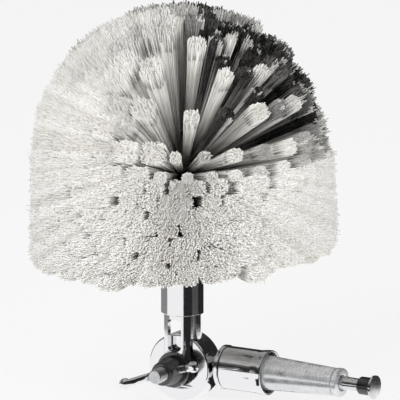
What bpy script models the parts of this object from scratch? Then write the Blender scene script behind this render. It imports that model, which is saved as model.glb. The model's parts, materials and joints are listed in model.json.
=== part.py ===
"""Round pole brush on an adjustable knuckle.

A dome-shaped brush head stands on a lapped neck. A bolt and a wing nut clamp the neck's ear
against a drum, and the drum's socket holds the stub that the pole fits on. All lengths are in
metres. The origin is the centre of the flat end of the stub's plug, with +X along the stub and
+Z up along the brush head.
"""
import math
import random

import bmesh
import bpy
from mathutils import Matrix, Vector

# Clearances and cutting
GAP = 0.0003
OVERRUN = 0.002
MERGE = 0.000001
SEED = 11

# Brush head
HEAD_D = 0.203
CORE_D = 0.034
CORE_RIM = 0.0024
BACKING_D = 0.033
BACKING_T = 0.002
BAND_COUNT = 4
BAND_H = 0.0162
ROWS_PER_BAND = 2
ROW_STRANDS = 26
STRAND_ROOT_W = 0.0022
STRAND_ROOT_DEPTH = 0.001
STRAND_SPREAD = 0.0018
BAND_TIP_W = 0.0112
BAND_TIP_H = 0.0056
DOME_LIFT = 0.0034
DOME_TIP_W = 0.0108
DOME_RINGS_DEG = (5.0, 19.0, 33.0)
CROWN_RINGS_DEG = (50.0, 64.0, 78.0)
CROWN_SPLIT_DEG = 41.5
RING_PITCH_DEG = 14.0
STUD_D = 0.008
STUD_THREAD_L = 0.0157
CROWN_HOLE_DEPTH = 0.0027
CORE_WASHER_ROOM = 0.0013
CORE_WASHER_T = 0.0015
CORE_NUT_AF = 0.013
CORE_NUT_H = 0.005
CORE_NUT_ROOM = 0.0018

# Neck and sleeve, from the pivot up
NECK_D = 0.025
EAR_T = 0.0045
SPOT_FACE_DEPTH = 0.0005
SPOT_FACE_ROOM = 0.00045
SLOT_W = 0.010
SLOT_L = 0.0216
SLOT_FOOT_H = 0.012
SLOT_CORNER = 0.003
FERRULE_SETOFF = 0.0029
FERRULE_WALL = 0.00165
FERRULE_L = 0.0355
FERRULE_EDGE = 0.0006
FERRULE_SCREW_UP = 0.0115
FERRULE_SCREW_D = 0.004
FERRULE_SCREW_L = 0.006
FERRULE_SCREW_HEAD_D = 0.007
FERRULE_SCREW_HEAD_T = 0.0018
CORE_SPIGOT_L = 0.012

# Knuckle, along the bolt
DRUM_D = 0.045
DRUM_EDGE = 0.0014
DRUM_CLEARANCE = 0.0007
FRICTION_WASHER_W = 0.0067
FRICTION_WASHER_T = 0.001
BUSH_WALL = 0.0009
BOLT_D = 0.010
BOLT_PROUD = 0.0088
BOLT_HEAD_D = 0.021
BOLT_HEAD_T = 0.0046
BOLT_SQUARE_T = 0.0042
BOLT_END_CHAMFER = 0.001
BOLT_RECESS_ROOM = 0.0015
BOLT_RECESS_SINK = 0.0008
WASHER_D = 0.0235
WASHER_T = 0.0014
LOCK_WASHER_D = 0.017
LOCK_WASHER_T = 0.0022
LOCK_WASHER_SPLIT = 0.0014
NUT_FOOT_D = 0.019
NUT_NOSE_D = 0.0155
NUT_H = 0.012
NUT_EDGE = 0.0008
WING_REACH = 0.031
WING_RISE = 0.0185
WING_T = 0.0052
WING_REST_DEG = 19.0

# Arm, from the drum out: boss, ring, spigot, socket, stub and end plug
ARM_REACH = 0.139
ARM_SETBACK = 0.008
BOSS_D = 0.0172
BOSS_TAPER = 0.0041
BOSS_FLARE_L = 0.0012
RING_STAND = 0.005
RING_L = 0.003
RING_PROUD = 0.0004
SPIGOT_L = 0.0095
SOCKET_D = 0.0286
SOCKET_WALL = 0.0026
SOCKET_L = 0.0319
SOCKET_FLARE_L = 0.008
SOCKET_MOUTH_FLARE = 0.00165
LIP_PROUD = 0.0007
LIP_L = 0.0027
LIP_EDGE = 0.0009
STUB_SHOULDER_IN = 0.0015
STUB_END_D = 0.0184
STUB_RING_D = 0.0192
STUB_RING_L = 0.0042
STUB_RING_EDGE = 0.001
PLUG_SHANK_D = 0.008
PLUG_SHANK_L = 0.0195
PLUG_NECK_D = 0.0092
PLUG_NECK_L = 0.0134
PLUG_WAIST_D = 0.0084
PLUG_BARREL_D = 0.0118
PLUG_BARREL_L = 0.0098
PLUG_EDGE = 0.0008
PLUG_FLANGE_D = 0.0156
PLUG_FLANGE_T = 0.0017
RIVET_SETOFF = 0.0055
RIVET_D = 0.004
RIVET_DEPTH = 0.006
RIVET_HEAD_D = 0.0072
RIVET_HEAD_T = 0.002

# Facets round each turned piece
FINE_STEPS = 40
MID_STEPS = 24
SMALL_STEPS = 16
CORE_STEPS = ROW_STRANDS
CROWN_STEPS = 16

# Outline of one wing, from its root below, round the tip and back to its root above:
# shares of the reach along the wing, and of the rise along the bolt
WING_OUTLINE_SHARES = (
    (0.17, 0.07),
    (0.42, 0.14),
    (0.68, 0.38),
    (0.88, 0.66),
    (0.99, 0.86),
    (0.94, 1.00),
    (0.78, 0.94),
    (0.58, 0.70),
    (0.38, 0.54),
    (0.17, 0.56),
)

# Worked out from the sizes above: along the bolt, forward of the pivot
NECK_R = NECK_D / 2
DRUM_R = DRUM_D / 2
DRUM_T = NECK_D - SPOT_FACE_DEPTH - EAR_T - FRICTION_WASHER_T - 2 * GAP
DRUM_FACE = DRUM_T / 2
NECK_Y = DRUM_FACE - NECK_R
LAP_Y = DRUM_FACE + FRICTION_WASHER_T + 2 * GAP
SPOT_Y = LAP_Y + EAR_T
WASHER_Y = SPOT_Y + GAP
LOCK_Y = WASHER_Y + WASHER_T + GAP
NUT_Y = LOCK_Y + LOCK_WASHER_T + GAP
BOLT_END_Y = NUT_Y + NUT_H + BOLT_PROUD
BOLT_HOLE_D = BOLT_D + 2 * GAP
FRICTION_WASHER_D = BOLT_HOLE_D + 2 * FRICTION_WASHER_W
BUSH_D = BOLT_HOLE_D + 2 * BUSH_WALL
BOLT_RECESS_DEPTH = BOLT_HEAD_T + GAP + BOLT_RECESS_SINK

# Heights above the pivot
SLOT_TOP_H = SLOT_FOOT_H + SLOT_L
FERRULE_D = NECK_D + 2 * (GAP + FERRULE_WALL)
FERRULE_FOOT_H = SLOT_TOP_H + FERRULE_SETOFF
FERRULE_SCREW_H = FERRULE_FOOT_H + FERRULE_SCREW_UP
CORE_FOOT_H = FERRULE_FOOT_H + FERRULE_L
NECK_TOP_H = CORE_FOOT_H - CORE_SPIGOT_L
BAND_FOOT_H = CORE_FOOT_H + GAP + BACKING_T + GAP
BAND_PITCH = BAND_H + GAP
DOME_FOOT_H = BAND_FOOT_H + BAND_COUNT * BAND_PITCH
DOME_CENTRE_H = DOME_FOOT_H + DOME_LIFT
HEAD_R = HEAD_D / 2
CORE_R = CORE_D / 2
CROWN_SPLIT = math.radians(CROWN_SPLIT_DEG)
CROWN_FOOT_H = DOME_CENTRE_H + CORE_R * math.sin(CROWN_SPLIT)
CROWN_HOLE_H = CROWN_FOOT_H + CROWN_HOLE_DEPTH
CORE_NUT_FOOT_H = CROWN_FOOT_H - CORE_NUT_ROOM - CORE_NUT_H
CORE_WASHER_FOOT_H = CORE_NUT_FOOT_H - GAP - CORE_WASHER_T
CORE_SHANK_TOP_H = CORE_WASHER_FOOT_H - GAP
CORE_BORE_D = 2 * (CORE_R * math.cos(CROWN_SPLIT) - CORE_RIM)
CORE_WASHER_D = CORE_BORE_D - 2 * CORE_WASHER_ROOM
STUD_HOLE_D = STUD_D + 2 * GAP
STRAND_L = HEAD_R - CORE_R

# Along the arm, from the pivot out
RING_D = SOCKET_D + 2 * RING_PROUD
RING_END = DRUM_R + RING_STAND
RING_FOOT = RING_END - RING_L
SPIGOT_END = RING_END + SPIGOT_L
RIVET_X = SPIGOT_END + RIVET_SETOFF
SOCKET_FOOT = RING_END + GAP
SOCKET_END = SOCKET_FOOT + SOCKET_L
SOCKET_BORE_D = SOCKET_D - 2 * SOCKET_WALL
STUB_SHOULDER = SOCKET_END - STUB_SHOULDER_IN
PLUG_BARREL_START = ARM_REACH - PLUG_FLANGE_T - PLUG_BARREL_L
STUB_RING_TOP = PLUG_BARREL_START - PLUG_NECK_L
STUB_END = STUB_RING_TOP - STUB_RING_L - GAP

TURN_TO_FRONT = Matrix.Rotation(math.radians(90), 4, "X")
TURN_TO_BACK = Matrix.Rotation(math.radians(-90), 4, "X")

# The arm lies behind the drum's middle: local Z runs along it from abreast of the pivot
ALONG_ARM = Matrix.Translation((0, ARM_SETBACK, 0)) @ Matrix.Rotation(math.radians(90), 4, "Y")


def clear_scene():
    for obj in list(bpy.data.objects):
        bpy.data.objects.remove(obj, do_unlink=True)


def new_collection(name):
    """A fresh collection in the scene."""
    old = bpy.data.collections.get(name)
    if old:
        bpy.data.collections.remove(old)
    made = bpy.data.collections.new(name)
    bpy.context.scene.collection.children.link(made)
    return made


def new_material(name, colour, roughness, metallic):
    made = bpy.data.materials.new(name)
    made.use_nodes = True
    shader = made.node_tree.nodes["Principled BSDF"]
    shader.inputs["Base Color"].default_value = (*colour, 1.0)
    shader.inputs["Roughness"].default_value = roughness
    shader.inputs["Metallic"].default_value = metallic
    made.diffuse_color = (*colour, 1.0)
    return made


def new_empty(name, place):
    """An empty on a joint's axis, which carries the pieces that move with it."""
    made = bpy.data.objects.new(name, None)
    made.location = place
    made.empty_display_size = CORE_R
    PARTS.objects.link(made)
    return made


def mesh_object(name, mesh, matrix=None):
    made = bpy.data.objects.new(name, mesh)
    if matrix is not None:
        made.matrix_local = matrix
    bpy.context.scene.collection.objects.link(made)
    return made


def turned(name, profile, steps, closed=False, matrix=None):
    """A turned piece: a profile of (radius, height), down its outer side, spun about Z."""
    mesh = bpy.data.meshes.new(name)
    points = [(radius, 0, height) for radius, height in profile]
    edges = [(i, i + 1) for i in range(len(points) - 1)]
    if closed:
        edges.append((len(points) - 1, 0))
    mesh.from_pydata(points, edges, [])
    made = mesh_object(name, mesh, matrix)
    screw = made.modifiers.new("turn", "SCREW")
    screw.steps = steps
    screw.render_steps = steps
    screw.use_merge_vertices = True
    screw.merge_threshold = MERGE
    screw.use_smooth_shade = True
    return made


def ring(name, outer_d, bore_d, foot, top, steps, matrix=None):
    """A plain ring or tube between two heights."""
    outer, bore = outer_d / 2, bore_d / 2
    profile = [(outer, top), (outer, foot), (bore, foot), (bore, top)]
    return turned(name, profile, steps, closed=True, matrix=matrix)


def rod(name, diameter, foot, top, steps, matrix=None):
    """A plain round rod between two heights."""
    radius = diameter / 2
    return turned(name, [(0, top), (radius, top), (radius, foot), (0, foot)], steps, matrix=matrix)


def dome_points(radius, rise, foot, count=5):
    """Points of a shallow dome from its crown down to its rim."""
    quarter = math.pi / 2
    turns = [quarter * i / count for i in range(count + 1)]
    return [(radius * math.sin(a), foot + rise * math.cos(a)) for a in turns]


def box_mesh(name, low, high):
    """A box between two corners."""
    mesh = bpy.data.meshes.new(name)
    bm = bmesh.new()
    bmesh.ops.create_cube(bm, size=1)
    size = Vector(high) - Vector(low)
    middle = (Vector(high) + Vector(low)) / 2
    bmesh.ops.scale(bm, vec=size, verts=bm.verts)
    bmesh.ops.translate(bm, vec=middle, verts=bm.verts)
    bm.to_mesh(mesh)
    bm.free()
    return mesh


def as_tool(obj):
    """Marks an object as a cutter or a shape to be joined, not a piece."""
    obj.hide_render = True
    obj.display_type = "WIRE"
    for held in list(obj.users_collection):
        held.objects.unlink(obj)
    TOOLS.objects.link(obj)
    return obj


def combine(target, tool, operation):
    as_tool(tool)
    if target.parent:
        tool.parent = target.parent
    step = target.modifiers.new(tool.name, "BOOLEAN")
    step.operation = operation
    step.solver = "EXACT"
    step.object = tool


def cut(target, tool):
    combine(target, tool, "DIFFERENCE")


def join(target, tool):
    combine(target, tool, "UNION")


def as_piece(obj, material, parent):
    """Puts a finished object among the parts, with its material and its carrier."""
    obj.data.materials.clear()
    obj.data.materials.append(material)
    for held in list(obj.users_collection):
        held.objects.unlink(obj)
    PARTS.objects.link(obj)
    obj.parent = parent
    for step in obj.modifiers:
        if step.type == "BOOLEAN":
            step.object.parent = parent
    return obj


def strand_matrix(root, out, width_way, wide, tall):
    """Places a cone of unit half width with its length along out."""
    side = width_way.normalized()
    up = out.cross(side).normalized()
    turn = Matrix((side, up, out)).transposed().to_4x4()
    square = Matrix.Rotation(math.radians(45), 4, "Z")
    size = Matrix.Diagonal((wide, tall, 1, 1))
    return Matrix.Translation(root) @ turn @ size @ square


def add_strand(bm, chance, foot, direction, side, tip_w, tip_h):
    """One flared strand of four sides, from under the core's surface to the head's outline."""
    length = STRAND_L + STRAND_ROOT_DEPTH - STRAND_SPREAD * chance.random()
    root = foot - STRAND_ROOT_DEPTH * direction
    middle = root + direction * (length / 2)
    corner = math.sqrt(2)
    bmesh.ops.create_cone(
        bm,
        cap_ends=True,
        segments=4,
        radius1=STRAND_ROOT_W / corner,
        radius2=tip_w / corner,
        depth=length,
        matrix=strand_matrix(middle, direction, side, 1, tip_h / tip_w),
    )


def strand_tool(name, fill):
    """A tool holding the strands that one slice of the core carries."""
    mesh = bpy.data.meshes.new(name)
    bm = bmesh.new()
    fill(bm, random.Random(f"{SEED} {name}"))
    bm.to_mesh(mesh)
    bm.free()
    return mesh_object(name, mesh)


def heading(turn, rise):
    """The unit direction at an angle round the head and an angle above the level."""
    level = math.cos(rise)
    return Vector((level * math.cos(turn), level * math.sin(turn), math.sin(rise)))


def fill_row(bm, chance, height, shift):
    """A level row of strands round the straight part of the core."""
    for i in range(ROW_STRANDS):
        turn = math.tau * (i + shift) / ROW_STRANDS
        out = heading(turn, 0)
        foot = out * CORE_R + Vector((0, NECK_Y, height))
        side = Vector((-math.sin(turn), math.cos(turn), 0))
        add_strand(bm, chance, foot, out, side, BAND_TIP_W, BAND_TIP_H)


def fill_ring(bm, chance, rise_deg, count):
    """A ring of strands round the dome, all pointing away from the dome's centre."""
    centre = Vector((0, NECK_Y, DOME_CENTRE_H))
    rise = math.radians(rise_deg)
    for i in range(count):
        turn = math.tau * (i + 0.5 * chance.random() * (count == 1)) / count
        out = heading(turn, rise)
        side = Vector((-math.sin(turn), math.cos(turn), 0))
        add_strand(bm, chance, centre + out * CORE_R, out, side, DOME_TIP_W, DOME_TIP_W)


def ring_count(rise_deg):
    return round(360 * math.cos(math.radians(rise_deg)) / RING_PITCH_DEG)


def on_neck_axis():
    return Matrix.Translation((0, NECK_Y, 0))


def make_bands():
    """Four bands of side tufts, each on its slice of the core."""
    for number in range(BAND_COUNT):
        foot = BAND_FOOT_H + number * BAND_PITCH
        name = f"tuft_band_{number + 1}"
        band = ring(name, CORE_D, CORE_BORE_D, foot, foot + BAND_H, CORE_STEPS, on_neck_axis())

        def fill(bm, chance, foot=foot, number=number):
            for row in range(ROWS_PER_BAND):
                height = foot + BAND_H * (row + 0.5) / ROWS_PER_BAND
                fill_row(bm, chance, height, 0.5 * ((number * ROWS_PER_BAND + row) % 2))

        join(band, strand_tool(name + "_strands", fill))
        as_piece(band, BRISTLE, HEAD)


def make_dome():
    """The lower part of the dome: a slice of the core from the last band to the crown."""
    rise_steps = 4
    outside = []
    for i in range(rise_steps, -1, -1):
        angle = CROWN_SPLIT * i / rise_steps
        outside.append((CORE_R * math.cos(angle), DOME_CENTRE_H + CORE_R * math.sin(angle)))
    bore = CORE_BORE_D / 2
    profile = outside + [(CORE_R, DOME_FOOT_H), (bore, DOME_FOOT_H), (bore, CROWN_FOOT_H)]
    dome = turned("tuft_dome", profile, CORE_STEPS, closed=True, matrix=on_neck_axis())

    def fill(bm, chance):
        for rise in DOME_RINGS_DEG:
            fill_ring(bm, chance, rise, ring_count(rise))

    join(dome, strand_tool("tuft_dome_strands", fill))
    as_piece(dome, BRISTLE, HEAD)


def make_crown():
    """The crown of the head, which screws onto the end of the stud."""
    foot = CROWN_FOOT_H + GAP
    start = math.asin((foot - DOME_CENTRE_H) / CORE_R)
    rise_steps = 5
    outside = []
    for i in range(rise_steps, -1, -1):
        angle = start + (math.pi / 2 - start) * i / rise_steps
        outside.append((CORE_R * math.cos(angle), DOME_CENTRE_H + CORE_R * math.sin(angle)))
    outside[0] = (0, DOME_CENTRE_H + CORE_R)
    hole = STUD_HOLE_D / 2
    profile = outside + [(hole, foot), (hole, CROWN_HOLE_H), (0, CROWN_HOLE_H)]
    crown = turned("tuft_crown", profile, CROWN_STEPS, matrix=on_neck_axis())

    def fill(bm, chance):
        for rise in CROWN_RINGS_DEG:
            fill_ring(bm, chance, rise, ring_count(rise))
        fill_ring(bm, chance, 90, 1)

    join(crown, strand_tool("tuft_crown_strands", fill))
    as_piece(crown, BRISTLE, HEAD)


def make_core():
    """The turned core inside the bands, with the stud, washer and nut that hold it."""
    here = on_neck_axis()
    hole = STUD_HOLE_D / 2
    plug_foot = NECK_TOP_H + GAP
    shank = CORE_BORE_D / 2 - GAP
    profile = [
        (shank, CORE_SHANK_TOP_H),
        (shank, CORE_FOOT_H),
        (NECK_R, CORE_FOOT_H),
        (NECK_R, plug_foot),
        (hole, plug_foot),
        (hole, CORE_SHANK_TOP_H),
    ]
    as_piece(turned("core_block", profile, MID_STEPS, closed=True, matrix=here), WOOD, HEAD)

    foot = CORE_FOOT_H + GAP
    plate = ring("backing_plate", BACKING_D, CORE_BORE_D, foot, foot + BACKING_T, MID_STEPS, here)
    as_piece(plate, STEEL, HEAD)

    foot, top = CORE_WASHER_FOOT_H, CORE_WASHER_FOOT_H + CORE_WASHER_T
    washer = ring("core_washer", CORE_WASHER_D, STUD_HOLE_D, foot, top, SMALL_STEPS, here)
    as_piece(washer, STEEL, HEAD)

    foot, top = CORE_NUT_FOOT_H, CORE_NUT_FOOT_H + CORE_NUT_H
    sides = 6
    across_corners = CORE_NUT_AF / math.cos(math.pi / sides)
    nut = rod("core_nut", across_corners, foot, top, sides, here)
    bore = rod("core_nut_bore", STUD_HOLE_D, foot - OVERRUN, top + OVERRUN, SMALL_STEPS, here)
    cut(nut, bore)
    as_piece(nut, STEEL, HEAD)

    foot, top = NECK_TOP_H - STUD_THREAD_L, CROWN_HOLE_H - GAP
    as_piece(rod("core_stud", STUD_D, foot, top, SMALL_STEPS, here), STEEL, HEAD)


def rounded_slot_cutter():
    """The long slot with rounded corners, cut right through the neck from front to back."""
    low = (-SLOT_W / 2, NECK_Y - NECK_R - OVERRUN, SLOT_FOOT_H)
    high = (SLOT_W / 2, NECK_Y + NECK_R + OVERRUN, SLOT_TOP_H)
    mesh = box_mesh("neck_slot", low, high)
    bm = bmesh.new()
    bm.from_mesh(mesh)
    deep = [e for e in bm.edges if abs(e.verts[0].co.y - e.verts[1].co.y) > OVERRUN]
    bmesh.ops.bevel(bm, geom=deep, offset=SLOT_CORNER, segments=4, profile=0.5, affect="EDGES")
    bm.to_mesh(mesh)
    bm.free()
    return mesh_object("neck_slot", mesh)


def ear_end_cutter():
    """Everything below the pivot but a round end as wide as the neck."""
    reach = NECK_R + OVERRUN
    back = NECK_Y + reach
    front = NECK_Y - reach
    low = (-reach, front, -reach)
    block = mesh_object("ear_end", box_mesh("ear_end", low, (reach, back, 0)))
    keep = rod("ear_round", NECK_D, -back - OVERRUN, OVERRUN - front, FINE_STEPS, TURN_TO_FRONT)
    cut(block, keep)
    keep.parent = HEAD
    return block


def make_neck():
    """The neck: a round bar with a slot, lapped round the drum down to a flat-backed ear."""
    neck = rod("slotted_neck", NECK_D, -NECK_R, NECK_TOP_H, FINE_STEPS, on_neck_axis())
    cut(neck, ear_end_cutter())
    lap_d = DRUM_D + 2 * DRUM_CLEARANCE
    back = NECK_Y + NECK_R + OVERRUN
    cut(neck, rod("neck_lap", lap_d, -back, LAP_Y, FINE_STEPS, TURN_TO_FRONT))
    front = NECK_R - NECK_Y + OVERRUN
    spot_d = WASHER_D + 2 * SPOT_FACE_ROOM
    cut(neck, rod("neck_spot_face", spot_d, SPOT_Y, front, FINE_STEPS, TURN_TO_FRONT))
    cut(neck, rod("ear_bore", BUSH_D + 2 * GAP, LAP_Y - OVERRUN, front, MID_STEPS, TURN_TO_FRONT))
    cut(neck, rounded_slot_cutter())
    foot, top = NECK_TOP_H - STUD_THREAD_L - GAP, NECK_TOP_H + OVERRUN
    cut(neck, rod("neck_stud_hole", STUD_HOLE_D, foot, top, SMALL_STEPS, on_neck_axis()))
    cut(neck, ferrule_screw_hole("neck_screw_hole"))
    as_piece(neck, CHROME, HEAD)


def behind_neck(height):
    """A frame on the neck's axis at a height, with its Z pointing to the back."""
    return Matrix.Translation((0, NECK_Y, height)) @ TURN_TO_BACK


def ferrule_screw_hole(name):
    foot = FERRULE_D / 2 - FERRULE_SCREW_L - GAP
    width = FERRULE_SCREW_D + 2 * GAP
    return rod(name, width, foot, FERRULE_D / 2 + OVERRUN, SMALL_STEPS, behind_neck(FERRULE_SCREW_H))


def make_ferrule():
    """The sleeve over the neck's top and the core's foot, and its screw at the back."""
    outer = FERRULE_D / 2
    bore = NECK_R + GAP
    top, foot = CORE_FOOT_H, FERRULE_FOOT_H
    profile = [
        (outer - FERRULE_EDGE, top),
        (outer, top - FERRULE_EDGE),
        (outer, foot + FERRULE_EDGE),
        (outer - FERRULE_EDGE, foot),
        (bore, foot),
        (bore, top),
    ]
    ferrule = turned("head_ferrule", profile, FINE_STEPS, closed=True, matrix=on_neck_axis())
    cut(ferrule, ferrule_screw_hole("ferrule_screw_hole"))
    as_piece(ferrule, CHROME, HEAD)

    seat = outer + GAP
    shank = FERRULE_SCREW_D / 2
    head = dome_points(FERRULE_SCREW_HEAD_D / 2, FERRULE_SCREW_HEAD_T, seat, 4)
    tail = outer - FERRULE_SCREW_L
    profile = head + [(shank, seat), (shank, tail), (0, tail)]
    screw = turned("ferrule_screw", profile, SMALL_STEPS, matrix=behind_neck(FERRULE_SCREW_H))
    as_piece(screw, STEEL, HEAD)


def make_pivot_bush():
    bush = ring("pivot_bush", BUSH_D, BOLT_HOLE_D, LAP_Y, SPOT_Y, MID_STEPS, TURN_TO_FRONT)
    as_piece(bush, BRASS, HEAD)


def drum_profile():
    """The drum's section, with rounded edges, from its front face to its back."""
    corner_steps = 3
    profile = [(0, DRUM_FACE)]
    for i in range(corner_steps + 1):
        turn = math.pi / 2 * i / corner_steps
        rim = DRUM_R - DRUM_EDGE + DRUM_EDGE * math.sin(turn)
        profile.append((rim, DRUM_FACE - DRUM_EDGE + DRUM_EDGE * math.cos(turn)))
    below = [(radius, -height) for radius, height in reversed(profile)]
    return profile + below


def make_drum():
    """The knuckle's drum, with the boss behind its rim that carries the socket, in one casting."""
    drum = turned("knuckle_drum", drum_profile(), FINE_STEPS, matrix=TURN_TO_FRONT)
    ring_r, spigot_r, boss_r = RING_D / 2, SOCKET_BORE_D / 2 - GAP, BOSS_D / 2
    boss_start = FRICTION_WASHER_D / 2 + GAP
    profile = [
        (0, SPIGOT_END),
        (spigot_r, SPIGOT_END),
        (spigot_r, RING_END),
        (ring_r - DRUM_EDGE / 2, RING_END),
        (ring_r, RING_END - DRUM_EDGE / 2),
        (ring_r, RING_FOOT),
        (boss_r, RING_FOOT - BOSS_FLARE_L),
        (boss_r - BOSS_TAPER, boss_start),
        (0, boss_start),
    ]
    boss = turned("drum_boss", profile, MID_STEPS, matrix=ALONG_ARM)
    join(drum, boss)
    front = DRUM_FACE + OVERRUN
    cut(drum, rod("drum_bore", BOLT_HOLE_D, -DRUM_FACE, front, MID_STEPS, TURN_TO_FRONT))
    recess_d, floor = BOLT_HEAD_D + 2 * BOLT_RECESS_ROOM, BOLT_RECESS_DEPTH - DRUM_FACE
    cut(drum, rod("bolt_recess", recess_d, -front, floor, MID_STEPS, TURN_TO_FRONT))
    half = BOLT_D / 2 + GAP
    seat = DRUM_FACE - BOLT_RECESS_DEPTH
    low = (-half, seat - BOLT_SQUARE_T - GAP, -half)
    cut(drum, mesh_object("square_seat", box_mesh("square_seat", low, (half, seat + OVERRUN, half))))
    as_piece(drum, CHROME, ARM)


def make_bolt():
    """The bolt: domed head in the drum's recess, square under it, end between the wings."""
    seat = BOLT_RECESS_DEPTH - DRUM_FACE - GAP
    radius, head_r = BOLT_D / 2, BOLT_HEAD_D / 2
    end = BOLT_END_Y
    profile = [
        (0, end),
        (radius - BOLT_END_CHAMFER, end),
        (radius, end - BOLT_END_CHAMFER),
        (radius, seat),
        (head_r, seat),
    ]
    dome = dome_points(head_r, BOLT_HEAD_T, 0)
    profile += [(r, seat - rise) for r, rise in reversed(dome[:-1])]
    bolt = turned("pivot_bolt", profile, MID_STEPS, matrix=TURN_TO_FRONT)
    low = (-radius, -seat - BOLT_SQUARE_T, -radius)
    high = (radius, OVERRUN / 2 - seat, radius)
    join(bolt, mesh_object("bolt_square", box_mesh("bolt_square", low, high)))
    as_piece(bolt, STEEL, ARM)


def make_washers():
    """Fibre disc behind the ear, flat washer in front of it, and split washer under the nut."""
    face = DRUM_FACE + GAP
    fibre = ring(
        "friction_washer",
        FRICTION_WASHER_D,
        BOLT_HOLE_D,
        face,
        face + FRICTION_WASHER_T,
        MID_STEPS,
        TURN_TO_FRONT,
    )
    as_piece(fibre, FIBRE, ARM)
    face, top = WASHER_Y, WASHER_Y + WASHER_T
    flat = ring("flat_washer", WASHER_D, BOLT_HOLE_D, face, top, MID_STEPS, TURN_TO_FRONT)
    as_piece(flat, CHROME, ARM)
    top = LOCK_Y + LOCK_WASHER_T
    split = ring("lock_washer", LOCK_WASHER_D, BOLT_HOLE_D, LOCK_Y, top, MID_STEPS, TURN_TO_FRONT)
    half = LOCK_WASHER_SPLIT / 2
    low = (-half, -top - OVERRUN, 0)
    high = (half, OVERRUN - LOCK_Y, LOCK_WASHER_D)
    cut(split, mesh_object("washer_split", box_mesh("washer_split", low, high)))
    as_piece(split, STEEL, NUT)


def wing_mesh(name):
    """One wing: a smooth flat outline, given its thickness and made a mesh."""
    outline = bpy.data.curves.new(name, "CURVE")
    outline.dimensions = "2D"
    outline.fill_mode = "BOTH"
    outline.extrude = WING_T / 2
    outline.resolution_u = 3
    spline = outline.splines.new("BEZIER")
    spline.bezier_points.add(len(WING_OUTLINE_SHARES) - 1)
    spline.use_cyclic_u = True
    for point, (reach, rise) in zip(spline.bezier_points, WING_OUTLINE_SHARES, strict=True):
        point.co = (reach * WING_REACH, rise * WING_RISE, 0)
        point.handle_left_type = "AUTO"
        point.handle_right_type = "AUTO"
    guide = bpy.data.objects.new(name, outline)
    bpy.context.scene.collection.objects.link(guide)
    bpy.context.view_layer.update()
    evaluated = guide.evaluated_get(bpy.context.evaluated_depsgraph_get())
    mesh = bpy.data.meshes.new_from_object(evaluated)
    bpy.data.objects.remove(guide, do_unlink=True)
    bm = bmesh.new()
    bm.from_mesh(mesh)
    bmesh.ops.remove_doubles(bm, verts=bm.verts, dist=MERGE)
    bmesh.ops.recalc_face_normals(bm, faces=bm.faces)
    bm.to_mesh(mesh)
    bm.free()
    return mesh


def make_wing_nut():
    """The wing nut: a tapered hub with two wings that reach out and forward."""
    foot_r, nose_r = NUT_FOOT_D / 2, NUT_NOSE_D / 2
    profile = [
        (0, NUT_H),
        (nose_r - NUT_EDGE, NUT_H),
        (nose_r, NUT_H - NUT_EDGE),
        (foot_r, NUT_EDGE),
        (foot_r - NUT_EDGE, 0),
        (0, 0),
    ]
    rest = Matrix.Rotation(math.radians(WING_REST_DEG), 4, "Z")
    place = TURN_TO_FRONT @ Matrix.Translation((0, 0, NUT_Y)) @ rest
    nut = turned("wing_nut", profile, MID_STEPS, matrix=place)
    mesh = wing_mesh("wing_outline")
    for number in range(2):
        half_turn = Matrix.Rotation(math.pi * number, 4, "Z")
        wing = mesh_object(f"wing_{number + 1}", mesh, place @ half_turn @ TURN_TO_FRONT)
        join(nut, wing)
    foot, top = NUT_Y - OVERRUN, NUT_Y + NUT_H + OVERRUN
    cut(nut, rod("nut_bore", BOLT_HOLE_D, foot, top, MID_STEPS, TURN_TO_FRONT))
    as_piece(nut, CHROME, NUT)


def rivet_matrix():
    """A frame on the socket's axis at the rivet, with its Z pointing to the back."""
    return Matrix.Translation((RIVET_X, ARM_SETBACK, 0)) @ TURN_TO_BACK


def rivet_hole(name):
    foot, top = SOCKET_D / 2 - RIVET_DEPTH - GAP, SOCKET_D / 2 + OVERRUN
    return rod(name, RIVET_D + 2 * GAP, foot, top, SMALL_STEPS, rivet_matrix())


def make_socket():
    """The socket's tube with its flared mouth, and the rivet at its back."""
    outer, bore = SOCKET_D / 2, SOCKET_BORE_D / 2
    lip, mouth = outer + LIP_PROUD, bore + SOCKET_MOUTH_FLARE
    flare_start = SOCKET_END - SOCKET_FLARE_L
    profile = [
        (lip - LIP_EDGE, SOCKET_END),
        (lip, SOCKET_END - LIP_EDGE),
        (lip, SOCKET_END - LIP_L),
        (outer, flare_start),
        (outer, SOCKET_FOOT),
        (bore, SOCKET_FOOT),
        (bore, flare_start),
        (mouth, SOCKET_END),
    ]
    socket = turned("pole_socket", profile, FINE_STEPS, closed=True, matrix=ALONG_ARM)
    cut(socket, rivet_hole("socket_rivet_hole"))
    as_piece(socket, CHROME, ARM)

    seat = outer + GAP
    shank = RIVET_D / 2
    tail = outer - RIVET_DEPTH
    profile = dome_points(RIVET_HEAD_D / 2, RIVET_HEAD_T, seat, 4)
    profile += [(shank, seat), (shank, tail), (0, tail)]
    rivet = turned("socket_rivet", profile, SMALL_STEPS, matrix=rivet_matrix())
    as_piece(rivet, STEEL, ARM)


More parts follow.
